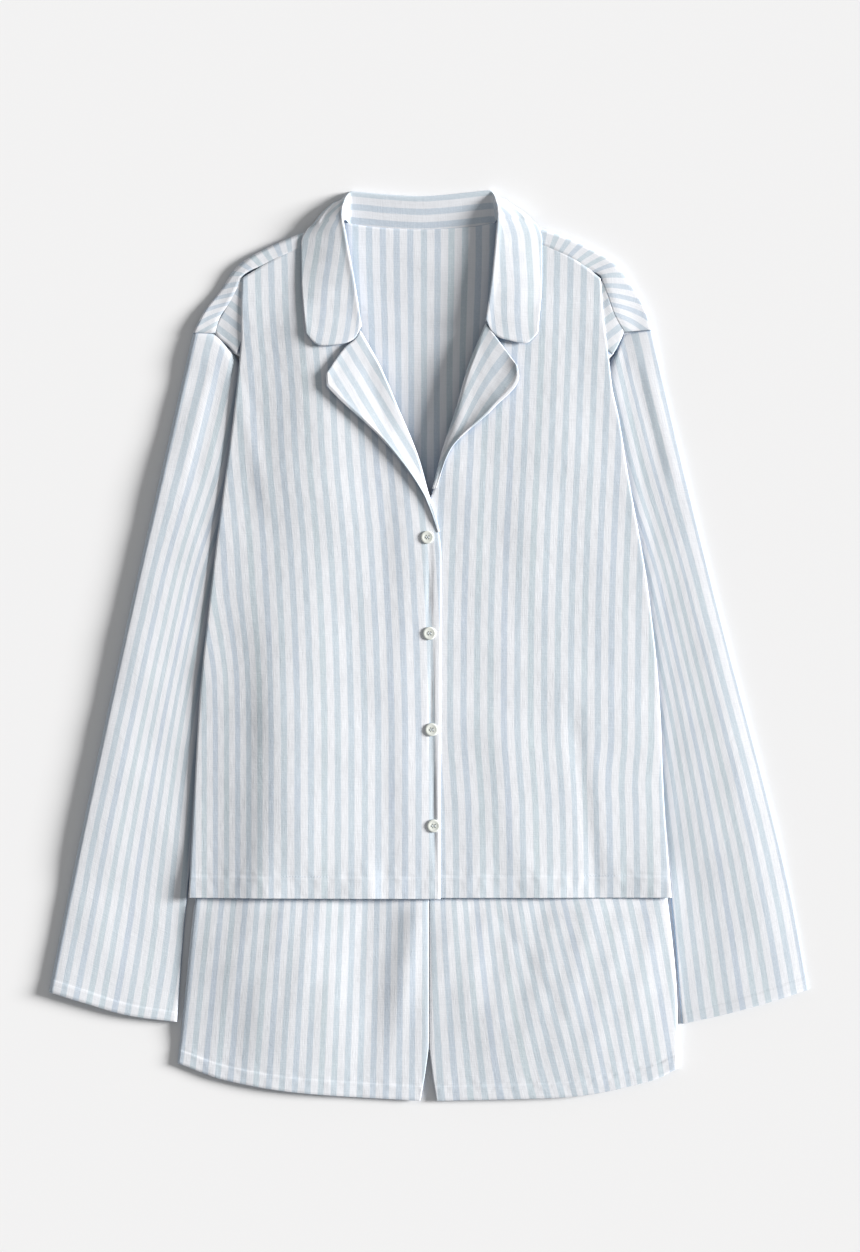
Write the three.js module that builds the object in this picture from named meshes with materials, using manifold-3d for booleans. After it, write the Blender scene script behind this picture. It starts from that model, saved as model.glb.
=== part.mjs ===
// A women's pyjama set laid flat and face up: a long-sleeved shirt with a notched collar, its
// sleeves down at its sides, over the top of a pair of shorts.
// Millimetres. +Z is up and z = 0 is the surface it lies on, +Y runs to the neck, and the
// wearer's right side is at -X. Each cloth piece is a surface of its own outline, given a wall.
import * as THREE from "three";
import { mergeVertices } from "three/addons/utils/BufferGeometryUtils.js";
import Module from "manifold-3d";

// Driving sizes.
const WALL = 1; // thickness of one layer of cloth
const HALF = WALL / 2;
const SEAM = 0.35; // gap between two pieces at a seam
const LAYER = 1.5; // from the middle of one layer to the middle of the next one on it
const UNDER = 3.8; // height of the shirt's underside where it lies on the sleeves and shorts
const RAMP = 64; // length of the slope where it comes down to the surface
const FLAT_TUBE = 2.7; // middle of the upper layer of a sleeve that the body presses flat
const SLEEVE_PUFF = 2.6; // how much higher it stands where nothing lies on it
const NECK_LIFT = 1.6; // room for the collar's fall under the back neck
const LAPEL_LIFT = 4; // how far the free edge of a lapel stands up
const BUTTON_COUNT = 4;
const BUTTON = { diameter: 12.5, thickness: 2.4, first: [-1.6, 103], pitch: 91, lean: 2 };

// Outlines of the two sides, as [x, y] from the neck down.
const SIDES = {
  right: {
    sign: -1,
    shoulder: [[-223.3, 297.4], [-212.8, 317.3], [-196.7, 338.2], [-184.3, 357.2],
      [-170.1, 368.6], [-141.6, 382.9], [-120.7, 391.5], [-100, 397], [-84, 404]],
    forwardSeam: [[-202.8, 296.8], [-198.6, 311.6], [-191, 323], [-183.4, 337.3],
      [-176.7, 351.5], [-143.5, 366.7], [-120.7, 378.1], [-103, 385], [-87, 390]],
    foldEdge: [[-176.9, 348.8], [-177.7, 320], [-177.7, 294.5], [-179.3, 270.8],
      [-182.4, 239.4], [-188.1, 191.9], [-192.9, 157.7], [-206.2, 53.2], [-216.9, -51.3],
      [-222.3, -146], [-227.2, -238]],
    tuck: [[-179.8, 346.8], [-189.4, 322.4], [-201, 297], [-188, 283], [-181, 275.6]],
    armhole: [[-223.3, 295.2], [-212.8, 294.4], [-203.2, 292.8], [-189.8, 278.4],
      [-181, 268.6], [-143.4, 185.6], [-106, 100]],
    sleeveOuter: [[-223.3, 295.2], [-252, 172], [-281.2, 43.7], [-341.5, -234.7],
      [-360.2, -327.8]],
    sleeveInner: [[-106, 100], [-131, 54], [-162, -2], [-191, -75], [-214, -150],
      [-229, -232], [-239.4, -356.3]],
    cuff: [[-360.2, -327.8], [-331.6, -336.8], [-282.2, -350.6], [-239.4, -356.3]],
    neckEdge: [[-87, 389], [-84.5, 366], [-77.4, 330], [-68, 301], [-50, 265],
      [-30.6, 224], [-11.2, 176.4], [-2, 144.4], [2.6, 136], [11.4, 81.7], [10.9, -80],
      [10.5, -239]],
    roll: [[-0.4, 144], [-9.5, 176.7], [-28.8, 224.2], [-46.6, 265.4], [-64.9, 298.2]],
    lapelEdge: [[-5, 143.6], [-41.1, 192.3], [-92, 241], [-96.6, 246.6], [-97.2, 257]],
    lapelTop: [[-97.2, 257], [-78.6, 283], [-70.8, 289.4], [-64.9, 298.2]],
    shortsSide: [[-170, -79], [-191, -120], [-209, -180], [-221.4, -239.4],
      [-233.7, -355.3], [-238.3, -395.5]],
    shortsHem: [[-238.3, -395.5], [-193.8, -411.5], [-122.6, -423.7], [-8.6, -431.3]],
    inseam: [[-0.6, -79], [-0.6, -230], [-0.6, -374], [-3.2, -400], [-8.6, -431.3]],
    frontRows: [0, 0.055, 0.12, 0.19, 0.26, 0.33, 0.4, 0.46, 0.51, 0.551, 0.567, 0.61, 0.67,
      0.73, 0.8, 0.862, 0.885, 0.907, 0.945, 0.98, 1],
  },
  left: {
    sign: 1,
    shoulder: [[210.9, 300.2], [206.2, 316.4], [194.8, 338.2], [177.7, 362.9],
      [162.5, 372.4], [140.6, 383.8], [106.4, 396], [88, 400], [71, 405]],
    forwardSeam: [[184.8, 298], [174.8, 316.4], [170.1, 330.6], [166, 342],
      [162.5, 351.5], [147.3, 358.2], [129.2, 370], [100, 383], [74, 392]],
    foldEdge: [[162.4, 348.4], [165.3, 309.7], [168.8, 282.2], [170.7, 267.9],
      [172.9, 247], [179.6, 215.7], [187.2, 168.2], [207.1, 53.2], [218, -51.3],
      [222.3, -146.3], [229.3, -238]],
    tuck: [[165.4, 341], [172.4, 317], [182.6, 298.8], [176.4, 282], [172, 275]],
    armhole: [[210.9, 298.4], [198, 297], [184.6, 294.8], [177.4, 276.6],
      [171.4, 266.4], [138.4, 183.8], [106, 100]],
    sleeveOuter: [[210.9, 298.4], [241, 172], [272.7, 43.7], [343, -233.7],
      [360, -325.9]],
    sleeveInner: [[106, 100], [131, 54], [162, -2], [191, -75], [214, -150],
      [229, -232], [240.4, -358.2]],
    cuff: [[360, -325.9], [330, -335.6], [280, -349.4], [240.4, -358.2]],
    neckEdge: [[74, 391], [71, 366], [67, 336], [55.4, 305.6], [37.8, 261],
      [27.4, 224], [15, 187], [3.2, 144], [-12, 116], [-12, 60], [-12, -80],
      [-12, -238]],
    roll: [[3.4, 149], [13.3, 187.2], [25.7, 224.2], [36.1, 261.3], [53.6, 305]],
    lapelEdge: [[6.6, 149.6], [20, 185.3], [59.9, 224.2], [84.6, 255], [83.4, 264.6]],
    lapelTop: [[83.4, 264.6], [69, 284.2], [53.6, 305]],
    shortsSide: [[170, -79], [193, -120], [213, -180], [226.1, -241.3],
      [235.6, -358.2], [235.6, -400.5]],
    shortsHem: [[235.6, -400.5], [210, -412.3], [124.5, -428], [7.6, -431.3]],
    inseam: [[0.6, -79], [0.6, -230], [0.6, -374], [2.8, -400], [7.6, -431.3]],
    frontRows: [0, 0.055, 0.12, 0.19, 0.26, 0.33, 0.4, 0.46, 0.51, 0.551, 0.6, 0.65, 0.7,
      0.75, 0.81, 0.862, 0.885, 0.907, 0.945, 0.98, 1],
  },
};
const BACK_NECK = [[-84, 404], [-73, 400.4], [-40, 396.4], [-8, 395], [25, 396.4],
  [58, 400.4], [71, 405]];

// The collar at stations from the right leaf's front end, round the back neck, to the left's:
// where it is sewn on, where it rolls over, its edge or outermost fold, and its hidden edge.
const COLLAR = {
  sewn: [[-65.2, 301.6], [-75, 345], [-84.6, 386], [-84, 398], [-79.5, 404.4],
    [-73, 402], [-8, 396], [58, 402], [66.5, 405.4], [71.4, 399], [72, 386],
    [66.5, 345], [55.8, 307.4]],
  roll: [[-63.8, 301.5], [-70.6, 345], [-78.5, 388], [-81.7, 409], [-79.6, 421],
    [-73.2, 431.2], [-8, 426.6], [57, 432.2], [62.6, 422.6], [64.8, 409], [63.2, 384],
    [59.2, 345], [53.7, 307.8]],
  outer: [[-116, 296], [-120.4, 345], [-120.9, 381], [-111, 400.5], [-93.6, 419.4],
    [-73.2, 431.4], [-8, 426.8], [57, 432.4], [78.8, 419.6], [99, 404], [107, 383],
    [106.8, 345], [102.8, 297]],
  hidden: [[-118, 383], [-118, 383], [-118, 383], [-106, 381], [-92, 380], [-76, 379],
    [-8, 378], [60, 379], [78, 380], [92, 381], [104, 385], [104, 385], [104, 385]],
  onFront: [1, 1, 1, 1, 0.55, 0, 0, 0, 0.55, 1, 1, 1, 1], // share of its height over the fronts
  edgeLift: [2.4, 2.2, 0.8, 0, 0, 0, 0, 0, 0, 0, 0.6, 1.6, 1.8],
  firstFolded: 2.75, // the fall turns under the shoulder from this station on
};
const BACK_NECK_HEIGHT = HALF + NECK_LIFT;
const LEAF_POINT_SAG = 13.5; // how far the leaf's end dips below a line from roll to edge

const smooth = (t) => {
  const c = Math.min(1, Math.max(0, t));
  return c * c * (3 - 2 * c);
};
const lerp = (a, b, t) => a + (b - a) * t;
const steps = (count) => Array.from({ length: count + 1 }, (_, i) => i / count);

// A cubic through (xs, ys) that never overshoots them: its slope at a knot is the harmonic
// mean of the chords beside it, and zero where they differ in sign.
function track(xs, ys) {
  const chord = (i) => (ys[i + 1] - ys[i]) / (xs[i + 1] - xs[i]);
  const slope = (i) => {
    if (i === 0) return chord(0);
    if (i === xs.length - 1) return chord(i - 1);
    const [before, after] = [chord(i - 1), chord(i)];
    return before * after > 0 ? (2 * before * after) / (before + after) : 0;
  };
  return (x) => {
    const last = xs.length - 2;
    const found = xs.findIndex((knot, i) => i > 0 && x < knot) - 1;
    const i = found < 0 ? (x < xs[0] ? 0 : last) : found;
    const width = xs[i + 1] - xs[i];
    const t = Math.min(1, Math.max(0, (x - xs[i]) / width));
    const [t2, t3] = [t * t, t * t * t];
    return (2 * t3 - 3 * t2 + 1) * ys[i] + (t3 - 2 * t2 + t) * width * slope(i)
      + (3 * t2 - 2 * t3) * ys[i + 1] + (t3 - t2) * width * slope(i + 1);
  };
}

// A smooth line through points: t in 0..1 is the share of its length along the chords.
function through(points) {
  const knots = [0];
  for (let i = 1; i < points.length; i++) {
    const [a, b] = [points[i - 1], points[i]];
    knots.push(knots[i - 1] + Math.hypot(b[0] - a[0], b[1] - a[1]));
  }
  const axes = [0, 1].map((axis) => track(knots, points.map((p) => p[axis])));
  return (t) => axes.map((f) => f(t * knots.at(-1)));
}

// A line through values at stations 0, 1, 2, ...
function stations(values) {
  const knots = values.map((_, i) => i);
  if (typeof values[0] === "number") return track(knots, values);
  const axes = [0, 1].map((axis) => track(knots, values.map((p) => p[axis])));
  return (s) => axes.map((f) => f(s));
}

// Coons patch: the point at (u, v) between four edges. The lines bottom and top run along u,
// left and right along v, and they share their corners.
function patch(bottom, top, left, right) {
  const corners = [bottom(0), bottom(1), top(0), top(1)];
  return (u, v) => [0, 1].map((i) => {
    const [sw, se, nw, ne] = corners.map((c) => c[i]);
    const plain = lerp(lerp(sw, se, u), lerp(nw, ne, u), v);
    return lerp(bottom(u)[i], top(u)[i], v) + lerp(left(v)[i], right(v)[i], u) - plain;
  });
}

// Heights. How far inside the free space between the sleeves and above the shorts a point is:
// 0 where the shirt lies on them, 1 where it lies on the surface.
const HOLLOW_Y = [-120, -75, 0, 55, 100, 185, 268];
const HOLLOW_X = [205, 188, 158, 127, 102, 131, 157];
const freeSideLow = track([...HOLLOW_Y, 273, 285, 350], [...HOLLOW_X, 166, 280, 340]);
const freeSideUp = track([...HOLLOW_Y, 300, 350, 440], [...HOLLOW_X, 172, 215, 240]);
const WAIST_TOP = -48;
const freedom = (x, y, side, margin) => smooth(((side(y) - Math.abs(x)) * 0.88 - margin) / RAMP)
  * smooth((y - WAIST_TOP - margin) / RAMP);
const neckRoom = (x, y) => NECK_LIFT * smooth((y - 336) / 38) * smooth((150 - Math.abs(x + 7)) / 25);
// Middle of the back's lower layer, and of the layer that lies on it.
const backHeight = (x, y) => HALF + UNDER * (1 - freedom(x, y, freeSideLow, 4)) + neckRoom(x, y);
const frontHeight = (x, y) =>
  HALF + LAYER + UNDER * (1 - freedom(x, y, freeSideUp, 14)) + neckRoom(x, y);
const TUCK_DROP = 1.55; // the tucked part of a front, and the shoulder strip, lie lower
const tipHeight = (x, y) => frontHeight(x, y) - TUCK_DROP * smooth((Math.abs(x) - 120) / 45);
// The right front is raised where it overlaps the left one.
const overlapLift = (x, y) => LAYER * smooth((x + 46) / 26) * (1 - smooth((y - 128) / 45));

// A closed solid of one wall about a grid of middle points, rows of columns. closed joins the
// last column to the first, and keep(row, column) says which cells are there.
function shell(rows, { closed = false, keep = () => true, wall = WALL } = {}) {
  const columns = rows[0].length;
  const at = (r, c) => r * columns + (c % columns);
  const points = rows.flat().map((p) => new THREE.Vector3(...p));
  const faces = [];
  for (let r = 0; r < rows.length - 1; r++) {
    for (let c = 0; c < columns - (closed ? 0 : 1); c++) {
      if (!keep(r, c)) continue;
      const [a, b, d, e] = [at(r, c), at(r, c + 1), at(r + 1, c + 1), at(r + 1, c)];
      faces.push([a, b, d], [a, d, e]);
    }
  }
  const normals = points.map(() => new THREE.Vector3());
  for (const [a, b, c] of faces) {
    const n = points[b].clone().sub(points[a]).cross(points[c].clone().sub(points[a]));
    [a, b, c].forEach((i) => normals[i].add(n));
  }
  normals.forEach((n) => n.normalize());
  const edges = new Set(faces.flatMap(([a, b, c]) => [`${a},${b}`, `${b},${c}`, `${c},${a}`]));
  const count = points.length;
  const solid = [];
  for (const [a, b, c] of faces) {
    solid.push(a, b, c, c + count, b + count, a + count);
    for (const [i, j] of [[a, b], [b, c], [c, a]]) {
      if (!edges.has(`${j},${i}`)) solid.push(j, i, i + count, j, i + count, j + count);
    }
  }
  const offset = (sign) => points.flatMap((p, i) =>
    p.clone().addScaledVector(normals[i], sign * wall / 2).toArray());
  return closedGeometry([...offset(1), ...offset(-1)], solid);
}

// A geometry from positions and triangles, its faces turned to point out and its unused
// points dropped.
function closedGeometry(positions, triangles) {
  const used = [...new Set(triangles)].sort((a, b) => a - b);
  const place = new Map(used.map((from, to) => [from, to]));
  const index = triangles.map((i) => place.get(i));
  const kept = used.flatMap((i) => positions.slice(3 * i, 3 * i + 3));
  const corner = (i) => new THREE.Vector3().fromArray(kept, 3 * index[i]);
  let volume = 0;
  for (let i = 0; i < index.length; i += 3) {
    volume += corner(i).dot(corner(i + 1).cross(corner(i + 2)));
  }
  if (volume < 0) {
    for (let i = 0; i < index.length; i += 3) {
      [index[i], index[i + 1]] = [index[i + 1], index[i]];
    }
  }
  const geometry = new THREE.BufferGeometry();
  geometry.setAttribute("position", new THREE.Float32BufferAttribute(kept, 3));
  geometry.setIndex(index);
  return geometry;
}

const cloth = (colour) =>
  new THREE.MeshStandardMaterial({ color: colour, roughness: 0.9, metalness: 0 });
const WHITE_COTTON = "#dfe5ea";
const COLLAR_COTTON = "#e8ecf0";
const SHELL_BUTTON = "#e4e5de";
const pyjamas = new THREE.Group();
function add(name, geometry, material) {
  const mesh = new THREE.Mesh(geometry, material);
  mesh.name = name;
  pyjamas.add(mesh);
  return mesh;
}

// The point a distance in from a towards b.
function inward(a, b, distance) {
  const reach = Math.hypot(b[0] - a[0], b[1] - a[1]);
  return [0, 1].map((i) => a[i] + ((b[i] - a[i]) * distance) / reach);
}

// Shirt back: one sheet from the hem to the neck that turns over both shoulders and comes
// down on the front to the forward seams.
const BACK_INSET = 3.6; // the side edge lies this far inside the front's
const SHOULDER_SEAM = 1.6; // from the forward seam to the middle of the front's top edge
function shirtBack() {
  const { right, left } = SIDES;
  const shoulderShares = [0, 0.13, 0.26, 0.38, 0.54, 0.7, 0.85, 1];
  const shoulderColumns = shoulderShares.length - 1;
  const neckColumns = 7;
  const rowShares = [0, 0.06, 0.12, 0.19, 0.26, 0.33, 0.4, 0.47, 0.54, 0.61, 0.68, 0.75, 0.82,
    0.87, 0.905, 0.925, 0.955, 1];
  const bodyRows = rowShares.length - 1;
  const turnSteps = 3;
  const stripSteps = 2;
  const columns = 2 * shoulderColumns + neckColumns;
  const sides = [right, left].map((side) => ({
    fold: through(side.shoulder),
    seam: through(side.forwardSeam),
    edge: through([...side.foldEdge.slice(3)].reverse().concat(
      [...side.armhole.slice(1, 4)].reverse(), [side.shoulder[0]])
      .map(([x, y]) => [x - side.sign * BACK_INSET, y + BACK_INSET / 2])),
  }));
  const neck = through(BACK_NECK);
  // The column's place on a shoulder: which side it is on, and how far from its tip.
  const onShoulder = (c) => {
    if (c <= shoulderColumns) return [0, shoulderShares[c]];
    if (c >= columns - shoulderColumns) return [1, shoulderShares[columns - c]];
    return null;
  };
  // The turn over the shoulder at a column: lower start, radius and direction.
  const turn = (c) => {
    const [which, t] = onShoulder(c);
    const fold = sides[which].fold(t);
    const seam = sides[which].seam(t);
    const low = backHeight(...fold);
    const high = tipHeight(...fold);
    return { fold, seam, low, high, radius: (high - low) / 2 };
  };
  const top = (u) => {
    const c = Math.round(u * columns);
    if (onShoulder(c)) {
      const { fold, seam, radius } = turn(c);
      return inward(fold, seam, radius);
    }
    return neck((c - shoulderColumns) / neckColumns);
  };
  const corners = [top(0), top(1)];
  const edges = sides.map(({ edge }, i) => (v) => {
    const [x, y] = edge(v);
    const miss = [corners[i][0] - edge(1)[0], corners[i][1] - edge(1)[1]];
    return [x + miss[0] * v ** 8, y + miss[1] * v ** 8];
  });
  const hem = (u) => [0, 1].map((i) => lerp(edges[0](0)[i], edges[1](0)[i], u));
  const panel = patch(hem, top, edges[0], edges[1]);
  const rows = rowShares.map((v) => steps(columns).map((u) => {
    const [x, y] = panel(u, v);
    return [x, y, backHeight(x, y)];
  }));
  for (let k = 1; k <= turnSteps + stripSteps; k++) {
    rows.push(steps(columns).map((u) => {
      const c = Math.round(u * columns);
      if (!onShoulder(c)) return [0, 0, 0];
      const { fold, seam, low, high, radius } = turn(c);
      if (k <= turnSteps) {
        const angle = (Math.PI * k) / turnSteps;
        const [x, y] = inward(fold, seam, radius * (1 - Math.sin(angle)));
        return [x, y, lerp(low, high, (1 - Math.cos(angle)) / 2)];
      }
      const start = inward(fold, seam, radius);
      const t = (k - turnSteps) / stripSteps;
      const [x, y] = [0, 1].map((i) => lerp(start[i], seam[i], t));
      return [x, y, tipHeight(x, y)];
    }));
  }
  const keep = (r, c) => r < bodyRows || c < shoulderColumns || c >= columns - shoulderColumns;
  add("shirt_back", shell(rows, { keep }), cloth(WHITE_COTTON));
}

// Shirt front: from the forward seam to the hem, between the side edge and the button edge or
// the lapel's roll. Its side edge turns down round the back's, and above the armhole a tuck
// shows outside that edge, one layer lower.
function shirtFront(name, side) {
  const raised = side.sign < 0 ? overlapLift : () => 0;
  const top = through([side.foldEdge[0],
    ...side.forwardSeam.slice(5, 8).map(([x, y]) => [x, y - SHOULDER_SEAM]), side.neckEdge[0]]);
  const outer = through([...side.foldEdge].reverse());
  const inner = through([...side.neckEdge].reverse());
  const hem = (u) => {
    const [a, b] = [outer(0), inner(0)];
    return [lerp(a[0], b[0], u), lerp(a[1], b[1], u)];
  };
  const panel = patch(hem, top, outer, inner);
  const body = [0, 0.008, 0.1, 0.21, 0.32, 0.44, 0.56, 0.68, 0.79, 0.9, 1];
  const tuckPoints = [...side.tuck].reverse();
  const tuck = track(tuckPoints.map((p) => p[1]), tuckPoints.map((p) => p[0]));
  const tuckStart = side.tuck.at(-1)[1];
  const tuckEnd = side.tuck[0][1];
  const rows = side.frontRows.map((v) => {
    const edge = panel(0, v);
    const inTuck = edge[1] > tuckStart - 3 && edge[1] < tuckEnd;
    const row = body.map((u) => {
      const [x, y] = panel(u, v);
      const down = inTuck ? 0 : (LAYER - 0.1) * (1 - smooth(u / 0.008));
      return [x, y, frontHeight(x, y) + raised(x, y) - down];
    });
    const foot = [edge[0] + side.sign * 1.2, edge[1]];
    const seamX = tuck(Math.min(tuckEnd, Math.max(tuckStart, edge[1])));
    const far = [edge[0] + side.sign * Math.max(2.4, (seamX - edge[0]) * side.sign), edge[1]];
    const tucked = [far, [lerp(foot[0], far[0], 0.5), edge[1]], foot]
      .map(([x, y]) => [x, y, tipHeight(x, y)]);
    return { points: [...tucked, ...row], inTuck };
  });
  const keep = (r, c) => c >= 3 || (rows[r].inTuck && rows[r + 1].inTuck);
  add(name, shell(rows.map((row) => row.points), { keep }), cloth(WHITE_COTTON));
}

// Lapel: the front's facing, seen where the front rolls open. It starts beside the front's
// edge, turns up round the roll and lies out over the front, its free edge raised.
function lapel(name, side) {
  const raised = side.sign < 0 ? overlapLift : () => 0;
  const roll = through(side.roll);
  const edge = through(side.lapelEdge);
  const top = through([...side.lapelTop].reverse());
  const bottom = (w) => [0, 1].map((i) => lerp(roll(0)[i], edge(0)[i], w));
  const panel = patch(bottom, top, roll, edge);
  const radius = LAYER / 2;
  const rows = steps(11).map((v) => {
    const start = panel(0, v);
    const toEdge = panel(1, v);
    const low = frontHeight(...start) + raised(...start);
    const turned = steps(3).map((t) => {
      const angle = Math.PI * t;
      const [x, y] = inward(start, toEdge, radius * (1 - Math.sin(angle)));
      return [x, y, low + radius * (1 - Math.cos(angle))];
    });
    const inset = radius / Math.hypot(toEdge[0] - start[0], toEdge[1] - start[1]);
    const flat = [0.25, 0.5, 0.75, 1].map((w) => {
      const [x, y] = panel(lerp(inset, 1, w), v);
      const over = frontHeight(x, y) + raised(x, y) + LAYER;
      return [x, y, over + LAPEL_LIFT * w * w * smooth(v / 0.5)];
    });
    return [...turned, ...flat];
  });
  add(name, shell(rows), cloth(COLLAR_COTTON));
}

// Collar: one band from leaf to leaf. Round the back neck it stands up from the neck seam,
// rolls over and falls behind; over each shoulder the fall comes out from under the back and
// lies on the front as a leaf.
function collar() {
  const line = Object.fromEntries(Object.entries(COLLAR)
    .filter(([, value]) => Array.isArray(value))
    .map(([key, value]) => [key, stations(value)]));
  const count = COLLAR.roll.length - 1;
  const perStation = 2.5;
  const rowCount = count * perStation;
  const mix = (a, b, t) => [lerp(a[0], b[0], t), lerp(a[1], b[1], t)];
  const rows = steps(rowCount).map((share) => {
    const s = share * count;
    const fromEnd = Math.min(s, count - s);
    const [sewn, roll, outer, hidden] =
      [line.sewn(s), line.roll(s), line.outer(s), line.hidden(s)];
    const [onFront, lift] = [line.onFront(s), line.edgeLift(s)];
    const topAt = (x, y) => lerp(BACK_NECK_HEIGHT + 0.2, frontHeight(x, y) + LAYER, onFront);
    const low = lerp(BACK_NECK_HEIGHT, frontHeight(...sewn), onFront);
    const high = topAt(...roll);
    const sag = LEAF_POINT_SAG * Math.max(0, 1 - fromEnd) ** 2;
    const rollRadius = Math.max(0.5, (high - low) / 2);
    const foldRadius = (high - HALF) / 2;
    const width = Math.hypot(outer[0] - roll[0], outer[1] - roll[1]);
    const pull = smooth((width - 2) / 12);
    // On top, from the roll to the outer edge or fold.
    const onTop = [0.12, 0.36, 0.68, 1].map((w) => {
      const [x, y] = mix(roll, outer, lerp(0.5, w, pull));
      const bulge = sag * (1 - (2 * w - 1) ** 4);
      return [x, y - bulge, topAt(x, y - bulge) + lift * w * w];
    });
    const stand = [sewn, mix(sewn, roll, 0.5), mix(sewn, roll, 0.9)];
    const folded = fromEnd >= COLLAR.firstFolded;
    const back = 1 - pull;
    // Where roll and fold meet, round the back neck, the top points share one half turn.
    const turn = [0.14, 0.32, 0.5, 0.68, 0.86].map((t) => {
      const angle = Math.PI * t;
      const [x, y] = inward(roll, hidden, foldRadius * (1 - Math.sin(angle)));
      return [x, y, lerp(high, HALF, (1 - Math.cos(angle)) / 2)];
    });
    const blend = (a, b) => a.map((value, i) => lerp(value, b[i], back));
    const points = [
      [...stand[0], low],
      [...stand[1], lerp(lerp(low, high, 0.35), high, back)],
      [...stand[2], lerp(lerp(low, high, 0.6), high, back)],
      blend([...roll, high - rollRadius * 0.6], turn[0]),
      blend(onTop[0], turn[1]),
      blend(onTop[1], turn[2]),
      blend(onTop[2], turn[3]),
      blend(folded ? [...inward(outer, roll, foldRadius * 0.6), high - 0.3] : onTop[3], turn[4]),
    ];
    const fold = blend([...outer, (high + HALF) / 2],
      [...inward(roll, hidden, foldRadius * 0.9), HALF + 0.05]);
    const under = [0.08, 0.5, 1].map((w) => [...mix(inward(outer, hidden, foldRadius), hidden, w),
      HALF]);
    return { points: [...points, fold, ...under], folded };
  });
  const keep = (r, c) => c < 7 || (rows[r].folded && rows[r + 1].folded);
  add("collar", shell(rows.map((row) => row.points), { keep }), cloth(COLLAR_COTTON));
}

// A flattened tube: its lower layer lies on the surface, its upper one at upper(x, y), and
// they meet in round edges. across(u, v) is its outline, open at v = 0 and v = 1.
function flatTube(across, upper, shares, rowShares) {
  const rows = rowShares.map((v) => {
    const [first, last] = [across(0, v), across(1, v)];
    const width = Math.hypot(last[0] - first[0], last[1] - first[1]);
    const ring = [];
    const layer = (list, height) => list.forEach((u) => {
      const radius = (upper(...across(u, v)) - HALF) / 2;
      const inset = radius / width;
      const [x, y] = across(lerp(inset, 1 - inset, u), v);
      ring.push([x, y, height(x, y)]);
    });
    const cap = (end, other, angles) => angles.forEach((angle) => {
      const [low, high] = [HALF, upper(...end)];
      const radius = (high - low) / 2;
      const [x, y] = inward(end, other, radius * (1 - Math.cos(angle)));
      ring.push([x, y, low + radius + radius * Math.sin(angle)]);
    });
    layer(shares, upper);
    cap(last, first, [0.85, 0, -0.85]);
    layer([...shares].reverse(), () => HALF);
    cap(first, last, [-0.85, 0, 0.85]);
    return ring;
  });
  return shell(rows, { closed: true });
}

function sleeve(name, side) {
  const top = through(side.armhole);
  const cuff = through(side.cuff);
  const outer = through(side.sleeveOuter);
  const inner = through(side.sleeveInner);
  const across = patch(top, cuff, outer, inner);
  const edges = [...side.foldEdge].slice(3).reverse();
  const bodyEdge = track(edges.map((p) => p[1]), edges.map((p) => Math.abs(p[0])));
  const hemY = edges[0][1];
  const upper = (x, y) => {
    const out = smooth((Math.abs(x) - bodyEdge(y) - 2) / 26);
    const below = smooth((hemY - 4 - y) / 20);
    return FLAT_TUBE + SLEEVE_PUFF * Math.max(out, below * 0.6);
  };
  const geometry = flatTube(across, upper, [0, 0.087, 0.226, 0.4, 0.6, 0.8, 1],
    [0, 0.04, 0.13, 0.27, 0.43, 0.6, 0.77, 0.91, 1]);
  add(name, geometry, cloth(WHITE_COTTON));
}

// Soft folds of the shorts' legs, in the part that the shirt leaves free: ridges along lines
// from the waist down to the hem, as [x, y, x, y, height, half width].
const SHORTS_FOLDS = [
  [-38, -240, -108, -425, 2, 16],
  [-128, -240, -142, -425, 1.2, 20],
  [66, -240, 142, -398, 2.2, 14],
  [176, -240, 190, -425, 1.2, 20],
];
function shortsFold(x, y) {
  const shown = smooth((-250 - y) / 40);
  return shown * SHORTS_FOLDS.reduce((sum, [x0, y0, x1, y1, height, spread]) => {
    const t = (y - y0) / (y1 - y0);
    const off = (x - lerp(x0, x1, t)) / spread;
    return sum + height * Math.exp(-off * off);
  }, 0);
}

// One leg of the shorts: its back lies on the surface and its front on it, and the front's
// edges turn down round the back's at the side and the inside leg.
const EDGE_TURN = 1.9;
function shortsLeg(word, side) {
  const seamInset = (points, by) => points.map(([x, y]) => [x + side.sign * by, y]);
  const make = (outerPoints, innerPoints, hemPoints) => {
    const outer = through([...outerPoints].reverse());
    const inner = through([...innerPoints].reverse());
    const top = (u) => [0, 1].map((i) => lerp(outer(1)[i], inner(1)[i], u));
    const hem = through([outerPoints.at(-1), ...hemPoints.slice(1, -1), innerPoints.at(-1)]);
    return patch(hem, top, outer, inner);
  };
  const front = make(side.shortsSide, side.inseam, side.shortsHem);
  const frontShares = [0, 0.012, 0.1, 0.22, 0.34, 0.46, 0.58, 0.7, 0.82, 0.92, 1];
  const frontRows = steps(10).map((v) => frontShares.map((u) => {
    const [x, y] = front(u, v);
    const down = (LAYER - 0.2) * (1 - smooth(u / 0.012));
    return [x, y, HALF + LAYER + 0.1 + shortsFold(x, y) - down];
  }));
  add(`shorts_front_${word}`, shell(frontRows), cloth(WHITE_COTTON));
  const back = make(seamInset(side.shortsSide, -EDGE_TURN), side.inseam,
    side.shortsHem.map(([x, y]) => [x, y + 1]));
  const backShares = [0, 0.25, 0.5, 0.75, 1];
  const backRows = steps(7).map((v) => backShares.map((u) => [...back(u, v), HALF]));
  add(`shorts_back_${word}`, shell(backRows), cloth(WHITE_COTTON));
}

// Waistband of the shorts: a flat casing above both legs, under the shirt.
function waistband() {
  const height = SIDES.left.inseam[0][1] + SEAM;
  const half = SIDES.left.shortsSide[0][0];
  const across = (u, v) => [lerp(-half, half, u), lerp(height, WAIST_TOP, v)];
  const upper = () => HALF + LAYER + 0.1;
  add("shorts_waistband", flatTube(across, upper, [0, 0.25, 0.5, 0.75, 1], [0, 0.5, 1]),
    cloth(WHITE_COTTON));
}

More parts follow.
